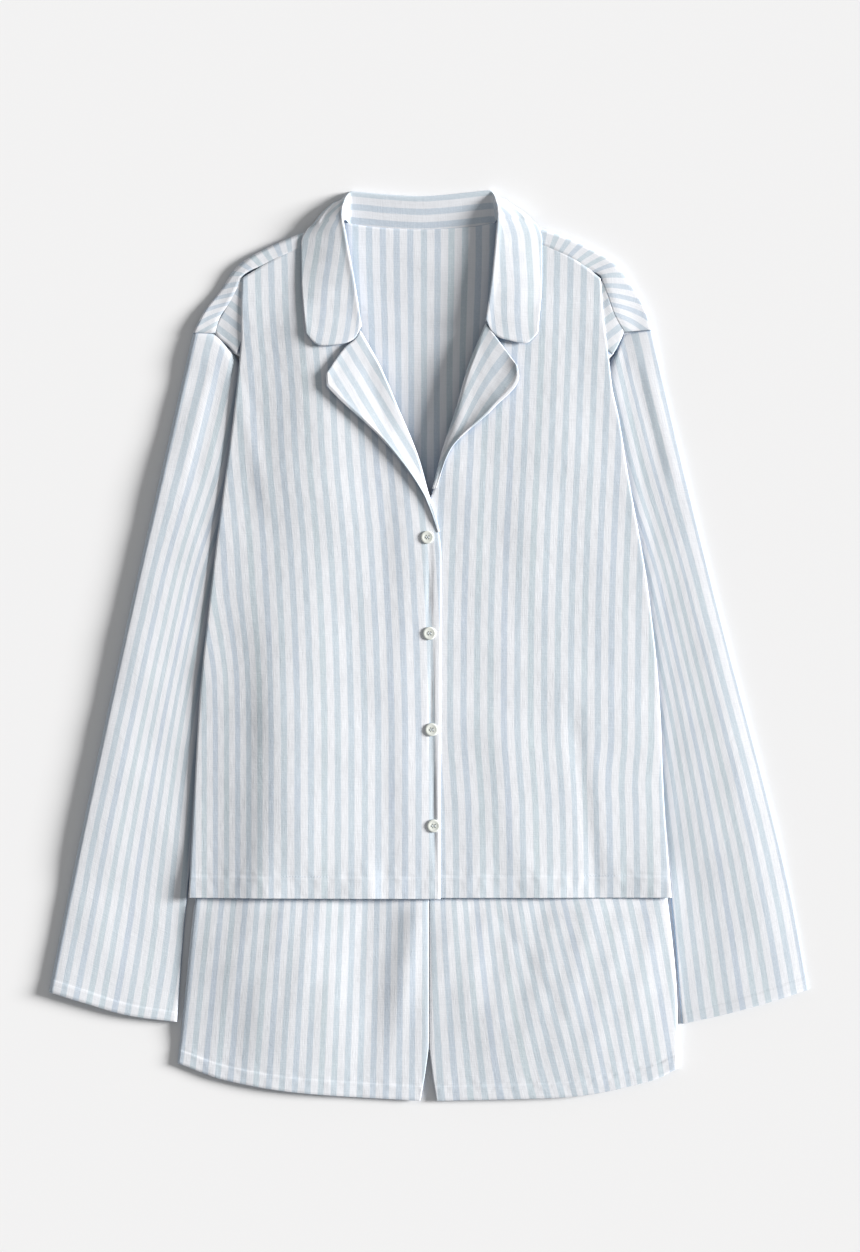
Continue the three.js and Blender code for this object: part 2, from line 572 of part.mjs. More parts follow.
// Buttons: a turned disc with a raised rim and a dished middle, drilled with four holes.
async function buttons() {
  const wasm = await Module();
  wasm.setup();
  const asSolid = (geometry) => {
    const bare = geometry.clone();
    bare.deleteAttribute("normal");
    bare.deleteAttribute("uv");
    const merged = mergeVertices(bare, 1e-4);
    return new wasm.Manifold(new wasm.Mesh({
      numProp: 3,
      vertProperties: merged.attributes.position.array,
      triVerts: new Uint32Array(merged.index.array),
    }));
  };
  const radius = BUTTON.diameter / 2;
  const { thickness } = BUTTON;
  const profile = [[0, 0], [radius * 0.8, 0], [radius, thickness * 0.45],
    [radius * 0.93, thickness], [radius * 0.7, thickness * 0.95],
    [radius * 0.55, thickness * 0.6], [0, thickness * 0.55]];
  const disc = new THREE.LatheGeometry(profile.map((p) => new THREE.Vector2(...p)), 14);
  disc.rotateX(Math.PI / 2);
  let body = asSolid(disc);
  const holeRadius = 0.8;
  const holeReach = 1.15;
  for (const [i, j] of [[1, 1], [1, -1], [-1, 1], [-1, -1]]) {
    const drill = new THREE.CylinderGeometry(holeRadius, holeRadius, 3 * thickness, 6);
    drill.rotateX(Math.PI / 2);
    drill.translate(i * holeReach, j * holeReach, 0);
    body = body.subtract(asSolid(drill));
  }
  const made = body.getMesh();
  const geometry = closedGeometry([...made.vertProperties], [...made.triVerts]);
  const [firstX, firstY] = BUTTON.first;
  for (let i = 0; i < BUTTON_COUNT; i++) {
    const [x, y] = [firstX + BUTTON.lean * i, firstY - BUTTON.pitch * i];
    const seat = frontHeight(x, y) + overlapLift(x, y) + HALF + 2 * SEAM;
    const shine = { color: SHELL_BUTTON, roughness: 0.3, metalness: 0 };
    const mesh = add(`button_${i + 1}`, geometry.clone(), new THREE.MeshStandardMaterial(shine));
    mesh.position.set(x, y, seat);
  }
}

shirtBack();
shirtFront("shirt_front_right", SIDES.right);
shirtFront("shirt_front_left", SIDES.left);
lapel("facing_right", SIDES.right);
lapel("facing_left", SIDES.left);
collar();
sleeve("sleeve_right", SIDES.right);
sleeve("sleeve_left", SIDES.left);
shortsLeg("right", SIDES.right);
shortsLeg("left", SIDES.left);
waistband();
await buttons();

// The origin is the middle of the whole outline, on the surface.
const outline = new THREE.Box3().setFromObject(pyjamas, true);
const middle = outline.getCenter(new THREE.Vector3());
pyjamas.position.set(-middle.x, -middle.y, 0);

export default pyjamas;
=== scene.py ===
"""A pyjama set laid flat and face up: a long-sleeved shirt with a notched collar over a pair of
shorts, in white cotton with soft blue stripes.

Outlines are in millimetres in the pattern's own plan: +X is the wearer's left, +Y runs to the
neck and z = 0 is the surface. Each cloth piece is a surface worked out on a grid, given a thin
wall with a rounded edge, and carries a UV map in metres of cloth: U across the stripes, V along.
"""
import math

import bpy
import numpy as np
from bpy.props import FloatProperty, FloatVectorProperty, PointerProperty
from bpy.types import Operator, Panel, PropertyGroup
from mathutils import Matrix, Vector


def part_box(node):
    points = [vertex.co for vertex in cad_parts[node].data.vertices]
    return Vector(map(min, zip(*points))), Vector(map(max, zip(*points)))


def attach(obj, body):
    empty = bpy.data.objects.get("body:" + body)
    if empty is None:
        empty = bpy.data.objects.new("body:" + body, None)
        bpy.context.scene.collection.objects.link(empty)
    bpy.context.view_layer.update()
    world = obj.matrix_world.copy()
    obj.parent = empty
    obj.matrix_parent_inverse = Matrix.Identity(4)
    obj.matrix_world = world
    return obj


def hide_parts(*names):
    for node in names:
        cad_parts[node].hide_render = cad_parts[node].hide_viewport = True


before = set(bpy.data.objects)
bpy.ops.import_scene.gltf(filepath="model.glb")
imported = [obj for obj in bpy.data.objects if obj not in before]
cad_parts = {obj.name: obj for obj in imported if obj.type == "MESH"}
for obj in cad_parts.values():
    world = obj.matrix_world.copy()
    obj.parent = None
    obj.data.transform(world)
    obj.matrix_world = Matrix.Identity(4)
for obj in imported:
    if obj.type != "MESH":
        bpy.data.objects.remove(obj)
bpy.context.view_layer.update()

bl_info = {
    "name": "Striped pyjama set",
    "version": (1, 0, 0),
    "blender": (4, 5, 0),
    "location": "View3D > Sidebar > Pyjamas",
    "description": "Makes a striped cotton pyjama set laid flat on a pale surface",
    "category": "Add Mesh",
}

MM = 0.001
BUTTON_BOXES = [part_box(f"button_{i + 1}") for i in range(4)]

# Where the plan's own zero lies in the frame, from the place of the first button.
FIRST_BUTTON = np.array([-1.6, 103.0])
SHIFT = np.array((BUTTON_BOXES[0][0] + BUTTON_BOXES[0][1])[:2]) / 2 / MM - FIRST_BUTTON


def linear(code):
    """An sRGB hex colour as linear red, green and blue."""
    channels = [int(code[i:i + 2], 16) / 255 for i in (1, 3, 5)]
    return tuple(c / 12.92 if c <= 0.04045 else ((c + 0.055) / 1.055) ** 2.4 for c in channels)


# ---------------------------------------------------------------- sizes and colours


class PyjamaSizes(PropertyGroup):
    """Sizes that a maker would change."""

    stripe_repeat: FloatProperty(
        name="Stripe repeat", description="From one blue stripe's middle to the next",
        default=12.7 * MM, unit="LENGTH", subtype="DISTANCE")
    cloth_wall: FloatProperty(
        name="Cloth thickness", description="Thickness of one layer of shirting",
        default=0.8 * MM, unit="LENGTH", subtype="DISTANCE")
    side_roll: FloatProperty(
        name="Side fold radius", description="Radius of the fold at the shirt's sides",
        default=1.25 * MM, unit="LENGTH", subtype="DISTANCE")
    sleeve_height: FloatProperty(
        name="Sleeve height", description="Height of the right sleeve's outer edge",
        default=9.2 * MM, unit="LENGTH", subtype="DISTANCE")
    collar_roll: FloatProperty(
        name="Collar roll", description="Height of the collar's roll over the cloth under it",
        default=6.5 * MM, unit="LENGTH", subtype="DISTANCE")
    lapel_lift_right: FloatProperty(
        name="Right lapel lift", description="How far the right lapel's point stands up",
        default=2.2 * MM, unit="LENGTH", subtype="DISTANCE")
    lapel_lift_left: FloatProperty(
        name="Left lapel lift", description="How far the left lapel's point stands up",
        default=5.3 * MM, unit="LENGTH", subtype="DISTANCE")
    shirt_hem: FloatProperty(
        name="Shirt hem", description="From the shirt's edge to its hem stitching",
        default=20.5 * MM, unit="LENGTH", subtype="DISTANCE")
    cuff_hem: FloatProperty(
        name="Cuff hem", description="From a sleeve's end to its hem stitching",
        default=12.5 * MM, unit="LENGTH", subtype="DISTANCE")
    shorts_hem: FloatProperty(
        name="Shorts hem", description="From a leg's edge to its hem stitching",
        default=14.0 * MM, unit="LENGTH", subtype="DISTANCE")
    stitch_length: FloatProperty(
        name="Stitch length", description="Length of one stitch with its gap",
        default=2.9 * MM, unit="LENGTH", subtype="DISTANCE")


def in_mm(size):
    """One of the sizes, in millimetres."""
    return getattr(bpy.context.scene.pyjama_sizes, size) / MM


class PyjamaColours(PropertyGroup):
    """Colours of the cloth, the buttons, the thread and the surface."""

    white_yarn: FloatVectorProperty(
        name="White yarn", description="The white stripes", subtype="COLOR",
        default=linear("#e0e2e6"), min=0, max=1)
    blue_yarn: FloatVectorProperty(
        name="Blue yarn", description="The blue stripes", subtype="COLOR",
        default=linear("#c0cad6"), min=0, max=1)
    green_blue_yarn: FloatVectorProperty(
        name="Sea-blue yarn", description="The greener of the blue stripes", subtype="COLOR",
        default=linear("#c3cfd4"), min=0, max=1)
    button: FloatVectorProperty(
        name="Buttons", description="The pearly buttons", subtype="COLOR",
        default=linear("#dcdfd8"), min=0, max=1)
    thread: FloatVectorProperty(
        name="Sewing thread", description="Hem stitching and button thread", subtype="COLOR",
        default=linear("#d2dae2"), min=0, max=1)
    surface: FloatVectorProperty(
        name="Surface", description="The pale surface that the set lies on", subtype="COLOR",
        default=linear("#ececec"), min=0, max=1)


# ---------------------------------------------------------------- curves and surfaces


def smooth(t):
    """Rises from 0 at t = 0 to 1 at t = 1 with level ends."""
    c = np.clip(t, 0, 1)
    return c * c * (3 - 2 * c)


def lerp(a, b, t):
    """The point a share t of the way from a to b."""
    return a + (b - a) * t


def track(knots, values):
    """A cubic through values at knots that never overshoots: its slope at a knot is the
    harmonic mean of the chords beside it, or zero where they differ in sign."""
    knots, values = np.array(knots, float), np.array(values, float)
    widths = np.diff(knots)
    chords = np.diff(values) / widths
    product = chords[:-1] * chords[1:]
    same = product > 0
    between = np.where(same, 2 * product / np.where(same, chords[:-1] + chords[1:], 1), 0)
    slopes = np.concatenate([chords[:1], between, chords[-1:]])

    def at(x):
        i = np.clip(np.searchsorted(knots, x, side="right") - 1, 0, len(widths) - 1)
        t = np.clip((x - knots[i]) / widths[i], 0, 1)
        t2, t3 = t * t, t * t * t
        return ((2 * t3 - 3 * t2 + 1) * values[i] + (t3 - 2 * t2 + t) * widths[i] * slopes[i]
                + (3 * t2 - 2 * t3) * values[i + 1] + (t3 - t2) * widths[i] * slopes[i + 1])

    return at


def through(points):
    """A smooth line through points: t from 0 to 1 is the share of its length by chords."""
    points = np.array(points, float)
    lengths = np.hypot(*np.diff(points, axis=0).T)
    knots = np.concatenate([[0], np.cumsum(lengths)])
    axes = [track(knots, points[:, axis]) for axis in range(2)]
    return lambda t: np.stack([f(np.asarray(t, float) * knots[-1]) for f in axes], axis=-1)


def patch(bottom, top, left, right, u, v):
    """Coons patch between four edge lines on the grid v by u: the two ruled surfaces between
    opposite edges, less the plain one between the corners. u may differ from row to row."""
    u = np.broadcast_to(u, (len(v), np.shape(u)[-1]))
    across, along = u[..., None], np.asarray(v)[:, None, None]
    corners = [bottom(0.0), bottom(1.0), top(0.0), top(1.0)]
    plain = lerp(lerp(corners[0], corners[1], across), lerp(corners[2], corners[3], across), along)
    sides = lerp(left(v)[:, None], right(v)[:, None], across)
    return lerp(bottom(u), top(u), along) + sides - plain


def straight(start, end):
    """The straight line between two points, by the share of its length."""
    return lambda u: lerp(start, end, np.asarray(u)[..., None])


def raised(plan, height):
    """Points of a plan at the given heights."""
    return np.concatenate([plan, height[..., None]], axis=-1)


def leaning_grain(x, y, sign, degrees):
    """Distances across and along the cloth where its grain leans by an angle: the plan turned
    about its zero, and mirrored on the right side."""
    lean = math.radians(degrees)
    return (sign * x * math.cos(lean) - y * math.sin(lean),
            sign * x * math.sin(lean) + y * math.cos(lean))


def shares(count, *places):
    """Evenly spaced shares from 0 to 1, closer together round each (place, reach, extra)."""
    extra = [place + reach * np.linspace(-1, 1, n) for place, reach, n in places]
    found = np.unique(np.round(np.concatenate([np.linspace(0, 1, count + 1), *extra]), 6))
    found = found[(found >= 0) & (found <= 1)]
    keep = np.concatenate([[True], np.diff(found) > 2e-4])
    keep[-1] = True
    return found[keep]


def length_along(points):
    """Length along each row of a grid of points, from the row's first point."""
    gaps = np.linalg.norm(np.diff(points, axis=1), axis=-1)
    return np.concatenate([np.zeros((len(points), 1)), np.cumsum(gaps, axis=1)], axis=1)


def ridges(x, y, lines):
    """Soft ridges and troughs: a bell-shaped section on each straight line, fading at its ends.
    A line is (x0, y0, x1, y1, height, half width)."""
    total = np.zeros(np.broadcast(x, y).shape)
    for x0, y0, x1, y1, height, spread in lines:
        run = math.hypot(x1 - x0, y1 - y0)
        dx, dy = (x1 - x0) / run, (y1 - y0) / run
        along = ((x - x0) * dx + (y - y0) * dy) / run
        off = ((x - x0) * dy - (y - y0) * dx) / spread
        shown = smooth((along + 0.15) / 0.35) * smooth((1.15 - along) / 0.35)
        total = total + height * shown * np.exp(-off * off)
    return total


def rumple(x, y, height, length, seed):
    """Shallow waves in cloth that lies loosely: six crossed sines with fixed turns and starts."""
    turns = seed * 1.7 + np.arange(6) * 2.39996
    starts = seed * 3.1 + np.arange(6) * 1.9
    lengths = length * (1 + 0.55 * np.sin(np.arange(6) * 2.2 + seed))
    total = sum(np.sin((x * math.cos(a) + y * math.sin(a)) * 2 * math.pi / wave + start)
                for a, start, wave in zip(turns, starts, lengths))
    return height * total / 3


# ---------------------------------------------------------------- meshes


def new_piece(name, points, faces, uv, material, nodes):
    """Puts points in millimetres into a mesh in the frame, with a UV for each point, hangs it
    under the root body and hides the solids that it stands for."""
    placed = np.array(points, float)
    placed[:, :2] += SHIFT
    mesh = bpy.data.meshes.new(name)
    mesh.from_pydata((placed * MM).tolist(), [], faces.tolist())
    corners = np.zeros(len(mesh.loops), np.int32)
    mesh.loops.foreach_get("vertex_index", corners)
    layer = mesh.uv_layers.new(name="cloth")
    layer.data.foreach_set("uv", (np.array(uv)[corners] * MM).astype(np.float32).ravel())
    mesh.polygons.foreach_set("use_smooth", np.ones(len(mesh.polygons), bool))
    mesh.materials.append(material)
    mesh.update()
    piece = bpy.data.objects.new(name, mesh)
    bpy.context.scene.collection.objects.link(piece)
    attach(piece, "root")
    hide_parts(*nodes)
    return piece


def grid_faces(rows, columns, closed=False, keep=None):
    """Quads of a grid of points, by rows. closed joins the last column to the first, and keep
    is an array of the cells that are there."""
    r, c = np.meshgrid(np.arange(rows - 1), np.arange(columns - (not closed)), indexing="ij")
    after = (c + 1) % columns
    quads = np.stack([r * columns + c, r * columns + after,
                      (r + 1) * columns + after, (r + 1) * columns + c], axis=-1)
    return quads.reshape(-1, 4) if keep is None else quads[keep]


def thin_shell(points, quads, uv, wall):
    """A wall about a surface: its points moved half a wall each way along their normals, and
    a row of points round the open edges moved out by as much, which makes the edge round."""
    used, index = np.unique(quads, return_inverse=True)
    quads = index.reshape(-1, 4)
    points, uv = points.reshape(-1, 3)[used], uv.reshape(-1, 2)[used]
    count = len(points)
    face = np.cross(points[quads[:, 2]] - points[quads[:, 0]],
                    points[quads[:, 3]] - points[quads[:, 1]])
    normals = np.zeros_like(points)
    for corner in range(4):
        np.add.at(normals, quads[:, corner], face)
    normals /= np.maximum(np.linalg.norm(normals, axis=1, keepdims=True), 1e-9)
    edges = np.concatenate([quads[:, [i, (i + 1) % 4]] for i in range(4)])
    forward = edges[:, 0] * count + edges[:, 1]
    rim = edges[~np.isin(forward, edges[:, 1] * count + edges[:, 0])]
    outward = np.cross(points[rim[:, 1]] - points[rim[:, 0]], normals[rim].sum(axis=1))
    outward /= np.maximum(np.linalg.norm(outward, axis=1, keepdims=True), 1e-9)
    side = np.zeros_like(points)
    for end in range(2):
        np.add.at(side, rim[:, end], outward)
    on_rim, place = np.unique(rim, return_inverse=True)
    side = side[on_rim]
    side /= np.maximum(np.linalg.norm(side, axis=1, keepdims=True), 1e-9)
    half = wall / 2
    made = np.concatenate([points + normals * half, points - normals * half,
                           points[on_rim] + side * half])
    a, b = rim[:, 0], rim[:, 1]
    middle = place.reshape(-1, 2) + 2 * count
    faces = np.concatenate([
        quads, quads[:, ::-1] + count,
        np.stack([b, a, middle[:, 0], middle[:, 1]], axis=1),
        np.stack([middle[:, 1], middle[:, 0], a + count, b + count], axis=1)])
    return made, faces, np.concatenate([uv, uv, uv[on_rim]])


def cloth_piece(name, points, uv, material, nodes, closed=False, keep=None):
    """A sheet or tube of cloth from a grid of points and its UVs."""
    quads = grid_faces(*points.shape[:2], closed=closed, keep=keep)
    made, faces, cloth_uv = thin_shell(points, quads, uv, in_mm("cloth_wall"))
    return new_piece(name, made, faces, cloth_uv, material, nodes)


# ---------------------------------------------------------------- the pattern's outlines

# Lines of the two sides as [x, y] points, from the neck down or from the body out.
SIDES = {
    "right": {
        "sign": -1,
        "shoulder": [[-223.3, 297.4], [-212.8, 317.3], [-196.7, 338.2], [-184.3, 357.2],
                     [-170.1, 368.6], [-141.6, 382.9], [-120.7, 391.5], [-100, 397], [-84, 404]],
        "forward_seam": [[-202.8, 296.8], [-198.6, 311.6], [-191, 323], [-183.4, 337.3],
                         [-176.7, 351.5], [-143.5, 366.7], [-120.7, 378.1], [-103, 385],
                         [-87, 390]],
        "fold_edge": [[-176.9, 348.8], [-177.7, 320], [-177.7, 294.5], [-179.3, 270.8],
                      [-182.4, 239.4], [-188.1, 191.9], [-192.9, 157.7], [-206.2, 53.2],
                      [-216.9, -51.3], [-222.3, -146], [-227.2, -238]],
        "tuck": [[-179.8, 346.8], [-189.4, 322.4], [-201, 297], [-188, 283], [-181, 275.6]],
        "armhole": [[-223.3, 295.2], [-212.8, 294.4], [-203.2, 292.8], [-189.8, 278.4],
                    [-181, 268.6], [-143.4, 185.6], [-106, 100]],
        "sleeve_outer": [[-223.3, 295.2], [-252, 172], [-281.2, 43.7], [-341.5, -234.7],
                         [-360.2, -327.8]],
        "sleeve_inner": [[-106, 100], [-131, 54], [-162, -2], [-191, -75], [-214, -150],
                         [-229, -232], [-239.4, -356.3]],
        "cuff": [[-360.2, -327.8], [-331.6, -336.8], [-282.2, -350.6], [-239.4, -356.3]],
        "neck_edge": [[-87, 389], [-84.5, 366], [-77.4, 330], [-68, 301], [-50, 265],
                      [-30.6, 224], [-11.2, 176.4], [-2, 144.4], [2.6, 136], [11.4, 81.7],
                      [10.9, -80], [10.5, -239]],
        "roll": [[9.6, 108], [6.2, 124], [2.4, 136], [-0.4, 144], [-9.5, 176.7],
                 [-28.8, 224.2], [-46.6, 265.4], [-64.9, 298.2]],
        "lapel_edge": [[8.4, 108], [3.6, 123], [-1, 134.6], [-5, 143.6], [-41.1, 192.3],
                       [-92, 241], [-96.6, 246.6], [-97.2, 257]],
        "lapel_top": [[-97.2, 257], [-78.6, 283], [-70.8, 289.4], [-64.9, 298.2]],
        "shorts_side": [[-170, -79], [-191, -120], [-209, -180], [-221.4, -239.4],
                        [-233.7, -355.3], [-238.3, -395.5]],
        "shorts_hem": [[-238.3, -395.5], [-193.8, -411.5], [-122.6, -423.7], [-8.6, -431.3]],
        "inseam": [[-0.47, -79], [-0.47, -230], [-0.47, -374], [-3.2, -400], [-8.6, -431.3]],
    },
    "left": {
        "sign": 1,
        "shoulder": [[210.9, 300.2], [206.2, 316.4], [194.8, 338.2], [177.7, 362.9],
                     [162.5, 372.4], [140.6, 383.8], [106.4, 396], [88, 400], [71, 405]],
        "forward_seam": [[184.8, 298], [174.8, 316.4], [170.1, 330.6], [166, 342],
                         [162.5, 351.5], [147.3, 358.2], [129.2, 370], [100, 383], [74, 392]],
        "fold_edge": [[162.4, 348.4], [165.3, 309.7], [168.8, 282.2], [170.7, 267.9],
                      [172.9, 247], [179.6, 215.7], [187.2, 168.2], [207.1, 53.2],
                      [218, -51.3], [222.3, -146.3], [229.3, -238]],
        "tuck": [[165.4, 341], [172.4, 317], [182.6, 298.8], [176.4, 282], [172, 275]],
        "armhole": [[210.9, 298.4], [198, 297], [184.6, 294.8], [177.4, 276.6],
                    [171.4, 266.4], [138.4, 183.8], [106, 100]],
        "sleeve_outer": [[210.9, 298.4], [241, 172], [272.7, 43.7], [343, -233.7],
                         [360, -325.9]],
        "sleeve_inner": [[106, 100], [131, 54], [162, -2], [191, -75], [214, -150],
                         [229, -232], [240.4, -358.2]],
        "cuff": [[360, -325.9], [330, -335.6], [280, -349.4], [240.4, -358.2]],
        "neck_edge": [[74, 391], [71, 366], [67, 336], [55.4, 305.6], [37.8, 261],
                      [27.4, 224], [15, 187], [3.2, 144], [-12, 116], [-12, 60], [-12, -80],
                      [-12, -238]],
        "roll": [[3.4, 149], [13.3, 187.2], [25.7, 224.2], [36.1, 261.3], [53.6, 305]],
        "lapel_edge": [[6.6, 149.6], [20, 185.3], [59.9, 224.2], [84.6, 255], [83.4, 264.6]],
        "lapel_top": [[83.4, 264.6], [69, 284.2], [53.6, 305]],
        "shorts_side": [[170, -79], [193, -120], [213, -180], [226.1, -241.3],
                        [235.6, -358.2], [235.6, -400.5]],
        "shorts_hem": [[235.6, -400.5], [210, -412.3], [124.5, -428], [7.6, -431.3]],
        "inseam": [[0.47, -79], [0.47, -230], [0.47, -374], [2.8, -400], [7.6, -431.3]],
    },
}
BACK_NECK = [[-84, 404], [-73, 400.4], [-40, 396.4], [-8, 395], [25, 396.4], [58, 400.4],
             [71, 405]]
# The collar at stations from the right leaf's front end, round the back neck, to the left's:
# where it is sewn on, where it rolls over, its edge or outermost fold, and its hidden edge.
COLLAR = {
    "sewn": [[-65.2, 301.6], [-75, 345], [-84.6, 386], [-84, 398], [-79.5, 404.4],
             [-73, 402], [-8, 396], [58, 402], [66.5, 405.4], [71.4, 399], [72, 386],
             [66.5, 345], [55.8, 307.4]],
    "roll": [[-63.8, 301.5], [-70.6, 345], [-78.5, 388], [-81.7, 409], [-79.6, 421],
             [-73.2, 431.2], [-8, 426.6], [57, 432.2], [62.6, 422.6], [64.8, 409], [63.2, 384],
             [59.2, 345], [53.7, 307.8]],
    "outer": [[-116, 296], [-120.4, 345], [-120.9, 381], [-111, 400.5], [-93.6, 419.4],
              [-73.2, 431.4], [-8, 426.8], [57, 432.4], [78.8, 419.6], [99, 404], [107, 383],
              [106.8, 345], [102.8, 297]],
    "hidden": [[-118, 383], [-118, 383], [-118, 383], [-106, 381], [-92, 380], [-76, 379],
               [-8, 378], [60, 379], [78, 380], [92, 381], [104, 385], [104, 385], [104, 385]],
}
LEAF_POINT_SAG = 13.5  # how far a leaf's end dips below a line from its roll to its edge
FIRST_FOLDED = 2.75  # the leaf turns under the shoulder from this station on
FRONT_LENGTH, SLEEVE_LENGTH, LEG_LENGTH = 600, 660, 352  # from hem to top of each piece


# ---------------------------------------------------------------- heights

HALF_LAYER = 0.5  # middle of a layer that lies on the surface
LAYER = 1.5  # from the middle of one layer to the middle of the next one on it
UNDER = 3.8  # height of the shirt's underside where it lies on the sleeves and shorts
RAMP = 64  # length of the slope where it comes down to the surface
NECK_LIFT = 1.6  # room for the collar's fall under the back neck
WAIST_TOP = -48  # top edge of the shorts
HEM_HALF_WIDTH = 229  # from the middle of the shirt to its side, at the hem
CROWN_PIVOT = 5.4  # the crown flattens towards this rise, by another share at each height
SHOULDER_RISE = 0.9  # rise of the front over its lower layers at the shoulders
LEG_PIVOT = 1.2  # a leg comes down towards this height at its hem

# Half width of the hollow between the sleeves, where the back lies on the surface.
free_side = track([-120, -75, 0, 55, 100, 185, 268, 273, 285, 350],
                  [205, 188, 158, 127, 102, 131, 157, 166, 280, 340])
# Half width of the body at each height, from the fold at its side.
EDGE_X = {word: track([y for x, y in side["fold_edge"][:2:-1]],
                      [abs(x) for x, y in side["fold_edge"][:2:-1]])
          for word, side in SIDES.items()}

# The body's cross-section: how the front stands over the surface from side to side.
crown_right = track([-230, -205, -146, -130, -60, 0], [6.0, 7.0, 13.0, 13.3, 10.6, 8.6])
crown_left = track([-15, 60, 140, 200, 230], [8.6, 8.5, 7.5, 5.8, 4.6])

# Folds are lines of (x0, y0, x1, y1, height, half width).
FRONT_FOLDS = [
    (-168, 0, -176, -230, -0.5, 12),
    (-60, -205, -50, -240, 0.35, 7),
    (-30, 60, -60, -120, 0.5, 26),
    (84, -190, 110, -236, 0.3, 11),
    (60, -60, 88, -236, 0.7, 18),
    (135, -60, 160, -236, -0.9, 9),
    (120, 240, 90, 40, 0.6, 26),
    (-110, 250, -90, 60, 0.6, 24),
    (-185, 250, -150, 130, 0.6, 9),
]
PLACKET_GROOVE = [(0, 96, 5.6, -196, -1.3, 1.3)]


def low_down(y):
    """Share of the crown that is left at each height: it fades towards the shoulders."""
    return (0.6 + 0.4 * smooth((270 - y) / 160)) * (1 - smooth((y - 300) / 70))


def past_side(x, y):
    """How far a point lies outside the fold at the shirt's side, less than 0 inside it."""
    return np.abs(x) - np.where(x < 0, EDGE_X["right"](y), EDGE_X["left"](y))


def back_height(x, y):
    """Middle of the shirt's lower layer: low in the hollow between the sleeves and above the
    shorts, up on them at its sides, and always a layer below the front near the hem."""
    free = (smooth(((free_side(y) - np.abs(x)) * 0.88 - 4) / RAMP)
            * smooth((y - WAIST_TOP - 4) / RAMP))
    room = NECK_LIFT * smooth((y - 336) / 38) * smooth((78 - np.abs(x + 7)) / 10)
    inside = 1 - 0.94 * smooth((past_side(x, y) + 70) / 60)
    on_shorts = 7.4 * smooth((-190 - y) / 46) * inside
    at_side = 4.7 * smooth((past_side(x, y) + 52) / 48) * low_down(y)
    height = HALF_LAYER + UNDER * (1 - free) + room + on_shorts + at_side
    return np.where(y < -150, np.minimum(height, front_height(x, y) - LAYER), height)


def front_height(x, y):
    """Middle of the shirt's upper layer: as high as the sleeves and shorts under it hold it,
    with a low crown, soft folds and shallow waves."""
    held = HALF_LAYER + LAYER + UNDER
    # The right half keeps its section as the body narrows upward.
    crown = np.where(x < 0, crown_right(x * HEM_HALF_WIDTH / EDGE_X["right"](y)), crown_left(x))
    at_shoulder = smooth((y - 300) / 70)
    tilt = 0.72 + 0.28 * smooth((40 - y) / 160) - 0.42 * np.exp(-((y - 85) / 80) ** 2)
    tilt = tilt - 0.12 * smooth((-150 - y) / 90)
    rise = lerp(CROWN_PIVOT, crown, tilt) * low_down(y) + ridges(x, y, FRONT_FOLDS)
    rise = rise + rumple(x, y, 0.28, 95, 1) + rumple(x, y, 0.06, 26, 2)
    return lerp(held + rise, held + SHOULDER_RISE, at_shoulder)


def shoulder_height(x, y):
    """Middle of the strip that comes over the shoulder, and of the tuck beside it: a little
    lower than the front, and lowest at the shoulder's tip."""
    low_tip = 2.0 * smooth((np.abs(x) - 168) / 34)
    return front_height(x, y) - 0.6 * smooth((np.abs(x) - 120) / 45) - low_tip


def overlap_lift(x, y):
    """How much higher the right front lies where it laps over the left one."""
    return 0.95 * smooth((x + 46) / 26) * (1 - smooth((y - 128) / 45))


# ---------------------------------------------------------------- stripes

# How far the stripes have moved across at each height, as the cloth was laid.
lean_right = track([-213, -89, -4, 53, 101, 186, 243, 329, 390],
                   [0, 0, -1.9, -4.6, -7.6, -15.2, -18, -24.7, -26])
lean_left = track([-213, -156, -70, 15, 101, 186, 243, 329, 390],
                  [6.8, 5.7, 1, 1.4, 3.8, 7.8, 10, 13, 14])
shorts_lean = track([0, 20, 58, 96, 134, 170, 210, 240],
                    [0.03, 0.07, 0.12, 0.2, 0.25, 0.22, 0.18, 0.16])


def front_stripes(x, y, sign):
    """Distance across the cloth of a front, 0 in the middle of a blue stripe."""
    if sign < 0:
        gathered = 0.2 * np.maximum(0, -147 - x) * smooth((60 - y) / 100)
        return x - 2.85 - lean_right(y) - gathered
    gathered = 6.6 * smooth((x - 128) / 36) * smooth((-80 - y) / 60)
    return x - 19 - lean_left(y) + gathered


def back_stripes(x, y):
    """Distance across the cloth of the back."""
    return (x + 4.75) * lerp(1.05, 0.975, smooth((y - 243) / 143))


def shorts_stripes(x, y, sign):
    """Distance across the cloth of a shorts leg: the stripes fan out towards its hem."""
    down = -240 - y - 78
    if sign < 0:
        return (x + 3.8) * 1.08 / (1 + 0.0005 * down)
    return (x - down * shorts_lean(np.abs(x)) - 5.7) * 1.083


# ---------------------------------------------------------------- materials


def add_node(tree, kind, values=None, links=None, **settings):
    """Adds a node with its settings, socket values and links to its inputs."""
    node = tree.nodes.new(kind)
    for key, value in settings.items():
        setattr(node, key, value)
    for key, value in (values or {}).items():
        node.inputs[key].default_value = value
    for key, socket in (links or {}).items():
        tree.links.new(socket, node.inputs[key])
    return node


def new_material(name):
    """An empty node material with its shader joined to the output."""
    material = bpy.data.materials.new(name)
    material.use_nodes = True
    tree = material.node_tree
    tree.nodes.clear()
    shader = add_node(tree, "ShaderNodeBsdfPrincipled")
    add_node(tree, "ShaderNodeOutputMaterial", links={"Surface": shader.outputs["BSDF"]})
    return material, tree, shader


def maths(tree, operation, *inputs, clamp=False):
    """A Math node whose inputs are numbers or sockets."""
    node = add_node(tree, "ShaderNodeMath", operation=operation, use_clamp=clamp)
    for i, value in enumerate(inputs):
        if isinstance(value, bpy.types.NodeSocket):
            tree.links.new(value, node.inputs[i])
        else:
            node.inputs[i].default_value = value
    return node.outputs[0]


